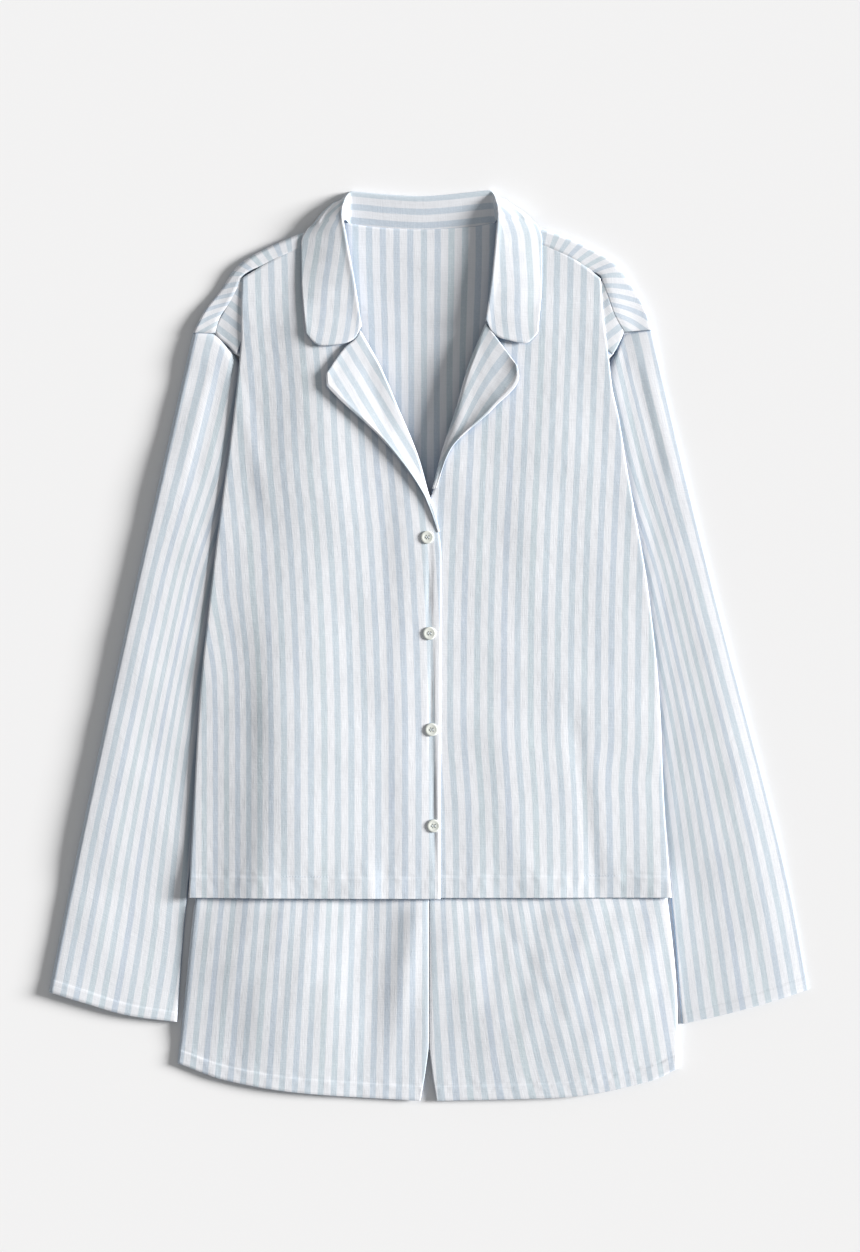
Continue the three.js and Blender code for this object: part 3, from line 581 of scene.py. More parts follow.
def yarn_noise(tree, uv, across, along, detail, seed):
    """Noise stretched into yarns: its grains are across by along, in metres."""
    scaled = add_node(tree, "ShaderNodeMapping", links={"Vector": uv},
                      values={"Scale": (1 / across, 1 / along, 1), "Location": (seed, seed, seed)})
    noise = add_node(tree, "ShaderNodeTexNoise", links={"Vector": scaled.outputs[0]},
                     values={"Scale": 1, "Detail": detail, "Roughness": 0.6})
    return noise.outputs["Fac"]


def striped_cotton(name, roughness, slub):
    """Yarn-dyed shirting in plain weave: bands of blue warp with a white weft, which gives soft
    band edges, a mottled blue, thick and thin yarns both ways, and a dry matte face."""
    sizes, colours = bpy.context.scene.pyjama_sizes, bpy.context.scene.pyjama_colours
    material, tree, shader = new_material(name)
    uv = add_node(tree, "ShaderNodeUVMap", uv_map="cloth").outputs["UV"]
    across = add_node(tree, "ShaderNodeSeparateXYZ", links={"Vector": uv}).outputs["X"]
    repeats = maths(tree, "DIVIDE", across, sizes.stripe_repeat)
    edge_noise = yarn_noise(tree, uv, 0.9 * MM, 14 * MM, 2, 3)
    shifted = maths(tree, "ADD", repeats, maths(tree, "MULTIPLY_ADD", edge_noise, 0.09, -0.045))
    from_middle = maths(tree, "ABSOLUTE", maths(tree, "SUBTRACT", shifted,
                                                maths(tree, "ROUND", shifted)))
    # Blue takes 0.23 of a repeat each side of its middle, and the band's edge is soft.
    band = add_node(tree, "ShaderNodeMapRange", links={"Value": from_middle},
                    values={"From Min": 0.185, "From Max": 0.275, "To Min": 1, "To Max": 0},
                    interpolation_type="SMOOTHSTEP").outputs["Result"]
    which = add_node(tree, "ShaderNodeTexWhiteNoise", noise_dimensions="1D",
                     links={"W": maths(tree, "ROUND", repeats)}).outputs["Value"]
    patches = yarn_noise(tree, uv, 22 * MM, 60 * MM, 2, 5)
    tint = maths(tree, "MULTIPLY_ADD", patches, 0.9, maths(tree, "MULTIPLY_ADD", which, 0.7, -0.3),
                 clamp=True)
    blue = add_node(tree, "ShaderNodeMix", data_type="RGBA", links={"Factor": tint},
                    values={"A": (*colours.blue_yarn, 1), "B": (*colours.green_blue_yarn, 1)})
    # White weft shows through the blue warp in flecks of about a yarn's width, drawn at 1.4 mm.
    fleck = yarn_noise(tree, uv, 1.4 * MM, 2.6 * MM, 3, 11)
    fleck_share = maths(tree, "MULTIPLY_ADD", fleck, -1.2, 1.55, clamp=True)
    share = maths(tree, "MULTIPLY", band, fleck_share)
    striped = add_node(tree, "ShaderNodeMix", data_type="RGBA", links={
        "Factor": share, "B": blue.outputs["Result"]}, values={"A": (*colours.white_yarn, 1)})
    # Slubs: thick yarns are a little lighter, thin ones let a shade of grey through.
    warp = yarn_noise(tree, uv, 0.8 * MM, 20 * MM, 2, 17)
    weft = yarn_noise(tree, uv, 16 * MM, 0.8 * MM, 2, 23)
    yarns = maths(tree, "ADD", warp, weft)
    tone = maths(tree, "MULTIPLY_ADD", yarns, slub, 1 - slub)
    tone_colour = add_node(tree, "ShaderNodeCombineColor",
                           links={"Red": tone, "Green": tone, "Blue": tone})
    toned = add_node(tree, "ShaderNodeMix", data_type="RGBA", blend_type="MULTIPLY",
                     values={"Factor": 1}, links={"A": striped.outputs["Result"],
                                                  "B": tone_colour.outputs["Color"]})
    # Painted shade: where the AO node finds the cloth closed in, in narrow gaps and under edges,
    #     the colour is darkened towards a blue grey, standing in for light that has met blue
    #     yarns.
    openness = add_node(tree, "ShaderNodeAmbientOcclusion", samples=8,
                        values={"Distance": 28 * MM}).outputs["AO"]
    painted_shade = add_node(tree, "ShaderNodeMapRange", links={"Value": openness},
                     values={"From Min": 0.15, "From Max": 0.75, "To Min": 1, "To Max": 0})
    # Painted shade: the colour is multiplied towards blue grey by that share.
    toned = add_node(tree, "ShaderNodeMix", data_type="RGBA", blend_type="MULTIPLY",
                     values={"B": (0.56, 0.66, 0.80, 1)},
                     links={"Factor": painted_shade.outputs["Result"], "A": toned.outputs["Result"]})
    height = maths(tree, "MULTIPLY_ADD", fleck, 0.5, yarns)
    crinkle = yarn_noise(tree, uv, 6 * MM, 9 * MM, 3, 29)
    crinkled = add_node(tree, "ShaderNodeBump", links={"Height": crinkle},
                        values={"Strength": 1.0, "Distance": 0.16 * MM})
    bump = add_node(tree, "ShaderNodeBump",
                    links={"Height": height, "Normal": crinkled.outputs["Normal"]},
                    values={"Strength": 0.5, "Distance": 0.25 * MM})
    tree.links.new(toned.outputs["Result"], shader.inputs["Base Color"])
    tree.links.new(bump.outputs["Normal"], shader.inputs["Normal"])
    shader.inputs["Roughness"].default_value = roughness
    shader.inputs["Specular IOR Level"].default_value = 0.1
    shader.inputs["Sheen Weight"].default_value = 0.05
    shader.inputs["Sheen Roughness"].default_value = 0.5
    return material


def pearl_resin(name):
    """Cast polyester button stock with pearl pigment, turned and tumbled: faint swirls of the
    pigment in a pale body under a smooth gloss."""
    colours = bpy.context.scene.pyjama_colours
    material, tree, shader = new_material(name)
    place = add_node(tree, "ShaderNodeTexCoord").outputs["Object"]
    swirl = add_node(tree, "ShaderNodeTexNoise", links={"Vector": place},
                     values={"Scale": 1 / (3.5 * MM), "Detail": 3, "Distortion": 1.6})
    light = tuple(min(1, c * 1.12) for c in colours.button)
    dark = tuple(c * 0.9 for c in colours.button)
    mixed = add_node(tree, "ShaderNodeMix", data_type="RGBA",
                     links={"Factor": swirl.outputs["Fac"]},
                     values={"A": (*dark, 1), "B": (*light, 1)})
    tree.links.new(mixed.outputs["Result"], shader.inputs["Base Color"])
    shader.inputs["Roughness"].default_value = 0.28
    shader.inputs["IOR"].default_value = 1.53
    shader.inputs["Coat Weight"].default_value = 0.2
    return material


def sewing_thread(name):
    """Twisted polyester core-spun thread: white plies wound at an angle, with a slight sheen, and
    painted shade in the grooves between the plies.
    """
    colours = bpy.context.scene.pyjama_colours
    material, tree, shader = new_material(name)
    uv = add_node(tree, "ShaderNodeUVMap", uv_map="cloth").outputs["UV"]
    plies = add_node(tree, "ShaderNodeTexWave", links={"Vector": uv}, bands_direction="DIAGONAL",
                     values={"Scale": 1 / (1.2 * MM), "Distortion": 0.4})
    # Painted shade: the grooves between the plies are drawn in a darker white.
    dark = tuple(c * 0.86 for c in colours.thread)
    mixed = add_node(tree, "ShaderNodeMix", data_type="RGBA", links={
        "Factor": plies.outputs["Fac"]}, values={"A": (*dark, 1), "B": (*colours.thread, 1)})
    tree.links.new(mixed.outputs["Result"], shader.inputs["Base Color"])
    shader.inputs["Roughness"].default_value = 0.6
    shader.inputs["Sheen Weight"].default_value = 0.2
    return material


def material_named(name, make, *arguments):
    """The material of that name, made the first time that it is asked for."""
    return bpy.data.materials.get(name) or make(name, *arguments)


def shirting():
    """Cloth of the shirt's body and sleeves."""
    return material_named("striped cotton shirting", striped_cotton, 0.92, 0.13)


def collar_shirting():
    """The same cloth with interfacing fused behind it, which makes it a little smoother."""
    return material_named("interfaced striped cotton", striped_cotton, 0.85, 0.1)


def shorts_shirting():
    """The same cloth in the shorts, washed soft."""
    return material_named("washed striped cotton", striped_cotton, 0.94, 0.15)


# ---------------------------------------------------------------- shirt


ROLL_COLUMNS = 9  # columns of points round a side edge that is rolled over a fold


def side_rolled(edges, u, v, radius, angles):
    """A plan between its hem, top, outer and inner edges, with the outer edge rolled round a
    fold between two angles. Returns its points and the depth of each under the fold's top."""
    outer, inner = edges[2:]
    inset = radius / np.linalg.norm(inner(v) - outer(v), axis=1)[:, None]
    flat = inset + (1 - inset) * u
    angles = np.radians(np.linspace(*angles, ROLL_COLUMNS))
    turned = inset * (1 - np.cos(angles))
    depth = np.broadcast_to(radius * (1 - np.sin(angles)), turned.shape)
    plan = patch(*edges, np.concatenate([turned, flat], axis=1), v)
    return plan, np.concatenate([depth, 0 * flat], axis=1)


def rolled_uv(points, stripes, sign):
    """UVs of a piece whose side edge is rolled: the stripes' distances, carried on round the
    roll by the length of the cloth."""
    arc = length_along(points)
    first = arc[:, [ROLL_COLUMNS]]
    stripes[:, :ROLL_COLUMNS] = (stripes[:, [ROLL_COLUMNS]]
                                 + sign * (first - arc[:, :ROLL_COLUMNS]))
    return np.stack([stripes, points[..., 1]], axis=-1)


def hem_profile(distance, depth):
    """A turned hem: the cloth stands a little higher below its stitching, on a soft step, and
    is pulled down along the stitches in a bell-shaped groove."""
    folded = 0.4 * (1 - smooth((distance - depth + 1.5) / 3.2))
    pulled = -0.16 * np.exp(-((distance - depth) / 1.1) ** 2)
    return folded + pulled


def front(word):
    """A shirt front: a Coons patch from hem to forward seam, its side edge rolled over a fold."""
    side = SIDES[word]
    sign = side["sign"]
    top = through([side["fold_edge"][0],
                   *[[x, y + 2.2] for x, y in side["forward_seam"][5:8]], side["neck_edge"][0]])
    outer = through(side["fold_edge"][::-1])
    inner = through(side["neck_edge"][::-1])
    v = shares(210, (in_mm("shirt_hem") / FRONT_LENGTH, 0.008, 9), (0.002, 0.004, 4))
    plan, drop = side_rolled([straight(outer(0.0), inner(0.0)), top, outer, inner],
                             shares(84, (1, 0.02, 5)), v, in_mm("side_roll"), (-75, 78))
    x, y = plan[..., 0], plan[..., 1]
    height = front_height(x, y)
    if sign < 0:
        height = height + overlap_lift(x, y) + ridges(x, y, PLACKET_GROOVE)
    distance = y - y[:1]
    height = height + hem_profile(distance, in_mm("shirt_hem"))
    pucker = rumple(x, y, 0.16, 13, 4) * np.exp(-((distance - 14) / 16) ** 2)
    # The hem's waves die out above it and beside the buttons.
    hem_wave = ((0.9 * np.sin(x / 17 + sign) + 0.7 * np.sin(x / 41 + 1.4))
                * np.exp(-(distance / 34) ** 2))
    height = height + pucker + hem_wave * smooth((np.abs(x) - 40) / 20) - drop
    points = raised(plan, height)
    cloth_piece(f"front_panel_{word}", points, rolled_uv(points, front_stripes(x, y, sign), sign),
                shirting(), [f"shirt_front_{word}"])


def tuck(word):
    """The part of a front that folds in above the armhole: a small patch beside the front's
    edge, between the shoulder strip and the sleeve."""
    side = SIDES[word]
    sign = side["sign"]
    # Both long edges lie a little under their neighbours.
    seam = through([[x + sign * 1.6, y + 1.2] for x, y in side["tuck"][::-1]])
    ends = [side["tuck"][-1][1], side["tuck"][0][1]]
    edge_points = [p for p in side["fold_edge"][::-1] if ends[0] - 4 < p[1]]
    edge = through([[x - sign * 1.5, y] for x, y in edge_points])
    away = np.linspace(0, 1, 13)
    plan = patch(straight(edge(0.0), seam(0.0)), straight(edge(1.0), seam(1.0)), edge, seam,
                 away, np.linspace(0, 1, 41))
    x, y = plan[..., 0], plan[..., 1]
    height = shoulder_height(x, y) - 0.7 + 0.6 * smooth(away)[None, :]
    cloth_piece(f"front_tuck_{word}", raised(plan, height),
                np.stack(leaning_grain(x, y, sign, 52), axis=-1), shirting(),
                [f"shirt_front_{word}"])


def back():
    """The shirt back: one sheet from the hem to the neck. At each shoulder it turns over on a
    half circle and comes down on the front to the forward seam, so its stripes are mirrored."""
    half = list(SIDES.values())
    count, neck_count = 40, 44
    shoulder_share = np.linspace(0, 1, count + 1)
    fold = [through(side["shoulder"])(shoulder_share) for side in half]
    seam = [through(side["forward_seam"])(shoulder_share) for side in half]
    inset = 3.6  # the back's side edge lies this far inside the front's
    edges = []
    for side in half:
        points = side["fold_edge"][3:][::-1] + side["armhole"][1:4][::-1] + side["shoulder"][:1]
        edges.append(through([[x - side["sign"] * inset, y + inset / 2] for x, y in points]))
    columns = 2 * count + neck_count
    order = np.arange(columns + 1)
    fold_all = np.zeros((columns + 1, 2))
    seam_all = np.zeros((columns + 1, 2))
    fold_all[:count + 1], fold_all[columns - count:] = fold[0], fold[1][::-1]
    seam_all[:count + 1], seam_all[columns - count:] = seam[0], seam[1][::-1]
    shoulder = (order <= count) | (order >= columns - count)
    neck = through(BACK_NECK)(np.clip((order - count) / neck_count, 0, 1))
    fold_all[~shoulder] = neck[~shoulder]
    gap = seam_all - fold_all
    gap[~shoulder] = (0, -1)
    inward = gap / np.linalg.norm(gap, axis=1, keepdims=True)
    low = back_height(*fold_all.T)
    high = shoulder_height(*fold_all.T) + 0.4
    radius = np.where(shoulder, (high - low) / 2, 0)
    top_line = fold_all + inward * radius[:, None]
    top = lambda u: np.stack([np.interp(u, order / columns, top_line[:, i]) for i in range(2)],
                             axis=-1)

    def edge_of(i):
        """A side edge, bent near its top to meet the end of the shoulder."""
        miss = top_line[-i] - edges[i](1.0)
        return lambda v: edges[i](v) + miss * np.asarray(v)[..., None] ** 8

    left, right = edge_of(0), edge_of(1)
    plan = patch(straight(left(0.0), right(0.0)), top, left, right, order / columns,
                 np.linspace(0, 1, 111))
    body = raised(plan, back_height(plan[..., 0], plan[..., 1]))
    neck_zone = smooth((plan[..., 1] - 120) / 60) * smooth((100 - np.abs(plan[..., 0])) / 30)
    body[..., 2] += neck_zone * rumple(plan[..., 0], plan[..., 1], 0.22, 70, 7)
    body_uv = np.stack([back_stripes(plan[..., 0], plan[..., 1]), plan[..., 1]], axis=-1)
    # The turn and the strip: how far past the fold each row is, over and down to the seam.
    angles = np.pi * np.linspace(0, 1, 11)[1:]
    turn_plan = fold_all + inward * (radius * (1 - np.sin(angles[:, None])))[..., None]
    turn_height = lerp(low, high, (1 - np.cos(angles[:, None])) / 2)
    start = fold_all + inward * radius[:, None]
    strip_share = np.linspace(0, 1, 19)[1:, None, None]
    strip_plan = lerp(start, seam_all, strip_share)
    strip_plan = np.where(shoulder[:, None], strip_plan, start)
    strip_height = shoulder_height(strip_plan[..., 0], strip_plan[..., 1]) + 0.4
    strip_height = strip_height - 0.45 * np.exp(-((strip_share[..., 0] - 1) / 0.12) ** 2)
    over = np.concatenate([raised(turn_plan, turn_height), raised(strip_plan, strip_height)])
    reach = np.linalg.norm(over[..., :2] - fold_all, axis=-1)
    mirrored = fold_all - inward * reach[..., None]
    across, along = leaning_grain(np.abs(mirrored[..., 0]), mirrored[..., 1], 1, 28)
    over_uv = np.stack([-across, along], axis=-1)
    points, uv = np.concatenate([body, over]), np.concatenate([body_uv, over_uv])
    keep = np.ones((len(points) - 1, columns), bool)
    keep[len(body) - 1:, count:columns - count] = False
    cloth_piece("back_panel", points, uv, shirting(), ["shirt_back"],
                keep=keep)


def lapel(word, lift):
    """A lapel: the facing comes up round the roll on a half circle and lies out over the front,
    raised by a sum of the way out and its square, so that its free edge stands highest."""
    side = SIDES[word]
    sign = side["sign"]
    roll, edge = through(side["roll"]), through(side["lapel_edge"])
    top = through(side["lapel_top"][::-1])
    v = np.linspace(0, 1, 121)
    start = roll(v)
    out = edge(v) - start
    width = np.linalg.norm(out, axis=1)[:, None]
    out = out / width
    radius = np.minimum(1.0 + 0.6 * smooth(v / 0.3)[:, None], 0.4 * width)
    angles = np.pi * np.linspace(0, 1, 10)
    lifted = lambda x, y: front_height(x, y) + (overlap_lift(x, y) if sign < 0 else 0)
    low = lifted(*start.T)[:, None] - 0.2
    turn_plan = start[:, None] + out[:, None] * (radius * (1 - np.sin(angles)))[..., None]
    turn_height = low + radius * (1 - np.cos(angles))
    w = shares(44, (1, 0.05, 6))[1:]
    plan = patch(straight(roll(0.0), edge(0.0)), top, roll, edge,
                 radius / width + (1 - radius / width) * w, v)
    x, y = plan[..., 0], plan[..., 1]
    share_up = smooth(v / 0.55)[:, None]
    height = lifted(x, y) + 2 * radius - 0.2
    if sign > 0:
        # A soft bend across the left lapel: it rises in two slopes.
        shape = 0.35 * w + 0.65 * w ** 2 + 0.10 * np.sin(2 * np.pi * w)
        bend = ridges(x, y, [(44, 290, 22, 200, 1.0, 7)])
    else:
        shape = 0.25 * w + 0.75 * w ** 2
        bend = ridges(x, y, [(-60, 268, -40, 205, -0.7, 9)])
    height = height + lift * share_up * shape + bend * share_up
    # The edge is turned and pressed: a thicker line that dips at its end.
    height = height + 0.2 * np.exp(-((w - 0.95) / 0.03) ** 2) - 0.4 * smooth((w - 0.95) / 0.05)
    points = np.concatenate([raised(turn_plan, turn_height), raised(plan, height)], axis=1)
    across, along = leaning_grain(points[..., 0], points[..., 1], sign, 31)
    if sign > 0:
        # The stripes wander a little where the left lapel is bent.
        across = across + 2.4 * np.sin(points[..., 0] / 9 - points[..., 1] / 60)
    uv = np.stack([across + 4, along], axis=-1)
    cloth_piece(f"lapel_{word}", points, uv, collar_shirting(),
                [f"facing_{word}"])


def collar():
    """The collar: a cross-section carried from leaf to leaf. Over each front it stands up from
    the neck seam, rolls over and lies down as a leaf; behind the neck it falls under the back.
    Each section is a smooth line through its control points."""
    last = len(COLLAR["roll"]) - 1
    s = last * shares(240, (0, 0.035, 31), (1, 0.035, 31))
    knots = np.arange(last + 1)
    line = {key: np.stack([track(knots, np.array(value)[:, i])(s) for i in range(2)], axis=-1)
            for key, value in COLLAR.items()}
    on_front = track(knots, [1, 1, 1, 1, 0.55, 0, 0, 0, 0.55, 1, 1, 1, 1])(s)
    edge_lift = track(knots, [2.2, 1.8, 0.8, 0.2, 0, 0, 0, 0, 0, 0.3, 0.8, 1.8, 2.2])(s)
    rise = track(knots, [0.45, 0.8, 1, 1, 0.9, 0.55, 0.5, 0.55, 0.9, 1, 1, 0.95, 0.6])(s)
    from_end = np.minimum(s, last - s)
    sewn, roll, outer, hidden = line["sewn"], line["roll"], line["outer"], line["hidden"]
    behind = HALF_LAYER + NECK_LIFT
    seat = lambda p: lerp(behind, front_height(*p.T) + 0.4, on_front)
    low = seat(sewn)
    crest = low + rise * in_mm("collar_roll")
    edge_height = lerp(behind + 0.6, front_height(*outer.T) + 1.3 + edge_lift, on_front)
    width = np.linalg.norm(outer - roll, axis=1)
    pull = smooth((width - 2) / 12)
    out = (outer - roll) / np.maximum(width, 1e-6)[:, None]
    under = (hidden - roll) / np.linalg.norm(hidden - roll, axis=1)[:, None]
    fold_low = HALF_LAYER + 0.1
    sag = LEAF_POINT_SAG * np.maximum(0, 1 - from_end) ** 2
    leaf, neck = [], []
    for t, h in ((0, 0), (0.35, 0.28), (0.75, 0.66)):
        leaf.append(raised(lerp(sewn, roll, t), lerp(low, crest, h)))
    leaf.append(raised(roll, lerp(low, crest, 0.92)))
    leaf.append(raised(roll + out * 1.1, crest + 0.25))
    for w in (0.12, 0.28, 0.46, 0.64, 0.82, 1.0):
        plan = lerp(roll, outer, w)
        plan = plan - np.stack([0 * sag, sag * (1 - (2 * w - 1) ** 4)], axis=1)
        height = lerp(crest, edge_height, w ** 0.9) + 0.5 * np.sin(np.pi * w)
        leaf.append(raised(plan, height))
    neck.append(raised(sewn - np.array([0, 2.5]), low - 1.1))
    for t, h in ((0.2, 0.12), (0.62, 0.6), (0.86, 0.95)):
        neck.append(raised(lerp(sewn, roll, t), lerp(low, crest, h)))
    tall = (crest - fold_low) / 2
    for angle in np.radians([25, 70, 115, 160]):
        neck.append(raised(roll + under * (tall * 0.6 * (1 - math.sin(angle)))[:, None],
                           fold_low + tall * (1 + math.cos(angle))))
    for t in (0.3, 0.65, 1):
        neck.append(raised(lerp(roll, hidden, t), 0 * low + fold_low))
    controls = lerp(np.array(neck), np.array(leaf), pull[None, :, None])
    # Where the leaf's edge is folded behind the shoulder its last points tuck under.
    folded = smooth((from_end - FIRST_FOLDED) / 0.25) * pull
    tucked = raised(outer - out * 1.5, lerp(edge_height, 0 * low + fold_low, 0.7))
    controls[-1] = lerp(controls[-1], tucked, folded[:, None])
    parts, steps = len(controls) - 1, 6
    t = np.linspace(0, parts, parts * steps + 1)
    i = np.minimum(t.astype(int), parts - 1)
    f = (t - i)[:, None, None]
    before = controls[np.maximum(i - 1, 0)]
    a, b = controls[i], controls[i + 1]
    after = controls[np.minimum(i + 2, parts)]
    # Catmull-Rom: a cubic between a and b whose end slopes are half of the chords beside.
    points = 0.5 * (2 * a + (b - before) * f + (2 * before - 5 * a + 4 * b - after) * f ** 2
                    + (3 * a - before - 3 * b + after) * f ** 3)
    points = points.transpose(1, 0, 2)
    arc = length_along(points)
    # Behind the neck the stripes follow the roll. On the leaves they follow the outer edge,
    # and lean towards it on their way down.
    from_roll = arc - arc[:, [3 * steps]]
    on_right = s < last / 2
    from_edge = arc - arc[:, -1:] + np.where(on_right, 44.4, 41.3)[:, None]
    down = np.maximum(0, 388 - roll[:, 1]) * np.where(on_right, 0.16, 0.07)
    across = lerp(from_roll, from_edge - down[:, None], smooth(pull * 1.6 - 0.6)[:, None])
    along = np.concatenate([[0], np.cumsum(np.linalg.norm(np.diff(roll, axis=0), axis=1))])
    points[..., 2] += rumple(points[..., 0], points[..., 1], 0.16, 40, 3) * pull[:, None]
    uv = np.stack([across - 2.3, np.broadcast_to(along[:, None], across.shape)], axis=-1)
    cloth_piece("collar_cloth", points, uv, collar_shirting(), ["collar"])


def sleeve(word):
    """A sleeve: rings round a flat tube. The lower half lies on the surface, and the upper half
    is pressed flat under the body, dips beside it and stands up outside it."""
    side = SIDES[word]
    sign = side["sign"]
    hem_y = side["fold_edge"][-1][1]
    tucked_in = np.array([0, 2.6])  # how far the sleeve's cap lies under the shoulder
    armhole = through(np.array(side["armhole"]) + tucked_in)
    sleeve_outer = through([side["sleeve_outer"][0] + tucked_in, *side["sleeve_outer"][1:]])
    sleeve_inner = through([side["sleeve_inner"][0] + tucked_in, *side["sleeve_inner"][1:]])
    lines = [armhole, through(side["cuff"]), sleeve_outer, sleeve_inner]
    cuff_hem = in_mm("cuff_hem")
    v = shares(200, (1 - cuff_hem / SLEEVE_LENGTH, 0.006, 7))
    tall = in_mm("sleeve_height")
    folds = [(sign * x0, y0, sign * x1, y1, h, spread) for x0, y0, x1, y1, h, spread in (
        (196, 268, 222, 160, -0.45, 6), (206, 262, 236, 150, 0.35, 7),
        (214, 270, 250, 180, -0.3, 7), (262, 40, 300, -140, 0.3, 16),
        (290, -120, 318, -300, 0.3, 18))]

    def upper(x, y, inset):
        """Beside the body the cloth climbs steeply in its shadow, then slowly; the right sleeve
        stands tall at its outer edge, and the left one comes down to it."""
        open_part = np.maximum(np.abs(x) - EDGE_X[word](y) - 1, 0)
        below = smooth((hem_y + 56 - y) / 56)
        pressed = 2.8 + (2.2 if sign < 0 else 0.6) * smooth((270 - y) / 120)
        outward = open_part / (open_part + inset + 1)
        if sign < 0:
            climb = 3.2 * smooth(open_part / 7) * (1 - below)
            slow = lerp(tall - 8.2, tall - 7.4, below) * outward
            edge = -0.8 * np.exp(-inset / 6)
        else:
            climb = 1.4 * (1 - np.exp(-open_part / 7)) * (1 - below)
            slow = 2.5 * smooth(outward)
            edge = -4.0 * np.exp(-inset / 38)
        shaped = smooth(open_part / 14)
        near_cap = 0.85 + 0.15 * smooth((298 - y) / 26)
        cap = 1.3 * smooth((y - 250) / 28) * smooth(open_part / 6)
        waves = (ridges(x, y, folds) + rumple(x, y, 0.22, 90, 5 + sign)) * shaped
        return pressed + (climb + slow + edge * shaped) * near_cap + cap + waves

    def ring_plan(u):
        """Plan points of a part of each ring, by its shares from the outer edge."""
        return patch(*lines, u, v)

    width = np.linalg.norm(lines[3](v) - lines[2](v), axis=1)[:, None]
    round_outer, round_inner = (3.4 if sign < 0 else 1.8) / width, 1.2 / width
    u_top = round_outer + (1 - round_outer - round_inner) * shares(58, (0, 0.08, 8))
    top_plan = ring_plan(u_top)
    top_height = upper(top_plan[..., 0], top_plan[..., 1], u_top * width)
    down = v[:, None] * SLEEVE_LENGTH
    distance = (1 - v[:, None]) * SLEEVE_LENGTH
    under_seam = 1.3 * (1 - smooth(down / 4.5))
    top_height = top_height + hem_profile(distance, cuff_hem) - under_seam
    outer_angles = np.radians(np.linspace(78, -78, 11))
    outer_plan = ring_plan(round_outer * (1 - np.cos(outer_angles)))
    floor_height = in_mm("cloth_wall") / 2
    outer_high = top_height[:, :1]
    outer_height = lerp(floor_height, outer_high, (1 + np.sin(outer_angles)) / 2)
    inner_angles = np.radians(np.linspace(-70, 70, 7))
    inner_plan = ring_plan(1 - round_inner * (1 - np.cos(inner_angles)))
    inner_height = lerp(floor_height, top_height[:, -1:], (1 + np.sin(inner_angles)) / 2)
    u_low = round_outer + (1 - round_outer - round_inner) * np.linspace(0, 1, 13)
    low_plan = ring_plan(u_low)
    low_height = np.full(low_plan.shape[:2], floor_height)
    # Round the ring: over the top from the inner edge, round the outer edge, back underneath.
    plan = np.concatenate([top_plan[:, ::-1], outer_plan, low_plan, inner_plan], axis=1)
    height = np.concatenate([top_height[:, ::-1], outer_height, low_height, inner_height], axis=1)
    points = raised(plan, height)
    arc = length_along(points)
    outermost = top_plan.shape[1] + len(outer_angles) // 2
    wide = 1 + 0.2 * smooth((plan[..., 1] - 60) / 120)
    across = (arc[:, [outermost]] - arc) / wide
    middle = 15.5 if sign < 0 else 14.6
    uv = np.stack([across - middle, np.broadcast_to(down, arc.shape)], axis=-1)
    cloth_piece(f"sleeve_cloth_{word}", points, uv, shirting(),
                [f"sleeve_{word}"],
                closed=True)
    row = np.argmin(np.abs(distance[:, 0] - cuff_hem))
    line, level = top_plan[row, 2:-2], top_height[row, 2:-2]
    order = np.argsort(line[:, 0])
    on_cuff = lambda x, y: np.interp(x, line[order, 0], level[order]) + 0.2
    stitches(f"cuff_stitches_{word}", [stitch_line(line, on_cuff)], [f"sleeve_{word}"])


# ---------------------------------------------------------------- shorts

SHORTS_FOLDS = [
    (-12, -240, -38, -420, 0.7, 10), (-34, -240, -72, -420, -0.7, 12),
    (-190, -240, -206, -420, 0.4, 14), (57, -241, 138, -370, -0.3, 6),
    (30, -250, 60, -425, 0.3, 16),
]
shorts_crown = track([-236, -200, -160, -130, -100, -60, -15, 10, 60, 90, 140, 200, 236],
                     [2.8, 3.8, 6.8, 7.4, 6.8, 4.6, 6.4, 6.3, 5.5, 5.5, 6.0, 4.4, 2.4])


def shorts_height(x, y):
    """A leg's upper layer before it comes down at its hem: level under the shirt, and crowned
    with soft folds below it."""
    shown = smooth((-212 - y) / 42)
    waves = ridges(x, y, SHORTS_FOLDS) + rumple(x, y, 0.35, 60, 9)
    return HALF_LAYER + LAYER + shown * (4.6 + shorts_crown(x) + waves)


def leg_height(x, y, distance):
    """Middle of a leg's upper layer at a distance from its hem: it comes down towards the hem
    and beside the gap between the legs."""
    beside_gap = np.exp(-(x / 64) ** 2) * smooth((-290 - y) / 110)
    left = (0.34 + 0.66 * smooth(distance / 115)) * (1 - 0.36 * beside_gap)
    return left * (shorts_height(x, y) - LEG_PIVOT) + LEG_PIVOT


def leg_hem(side):
    """The hem line of a leg, from its side to the inside leg."""
    return through([side["shorts_side"][-1], *side["shorts_hem"][1:-1], side["inseam"][-1]])


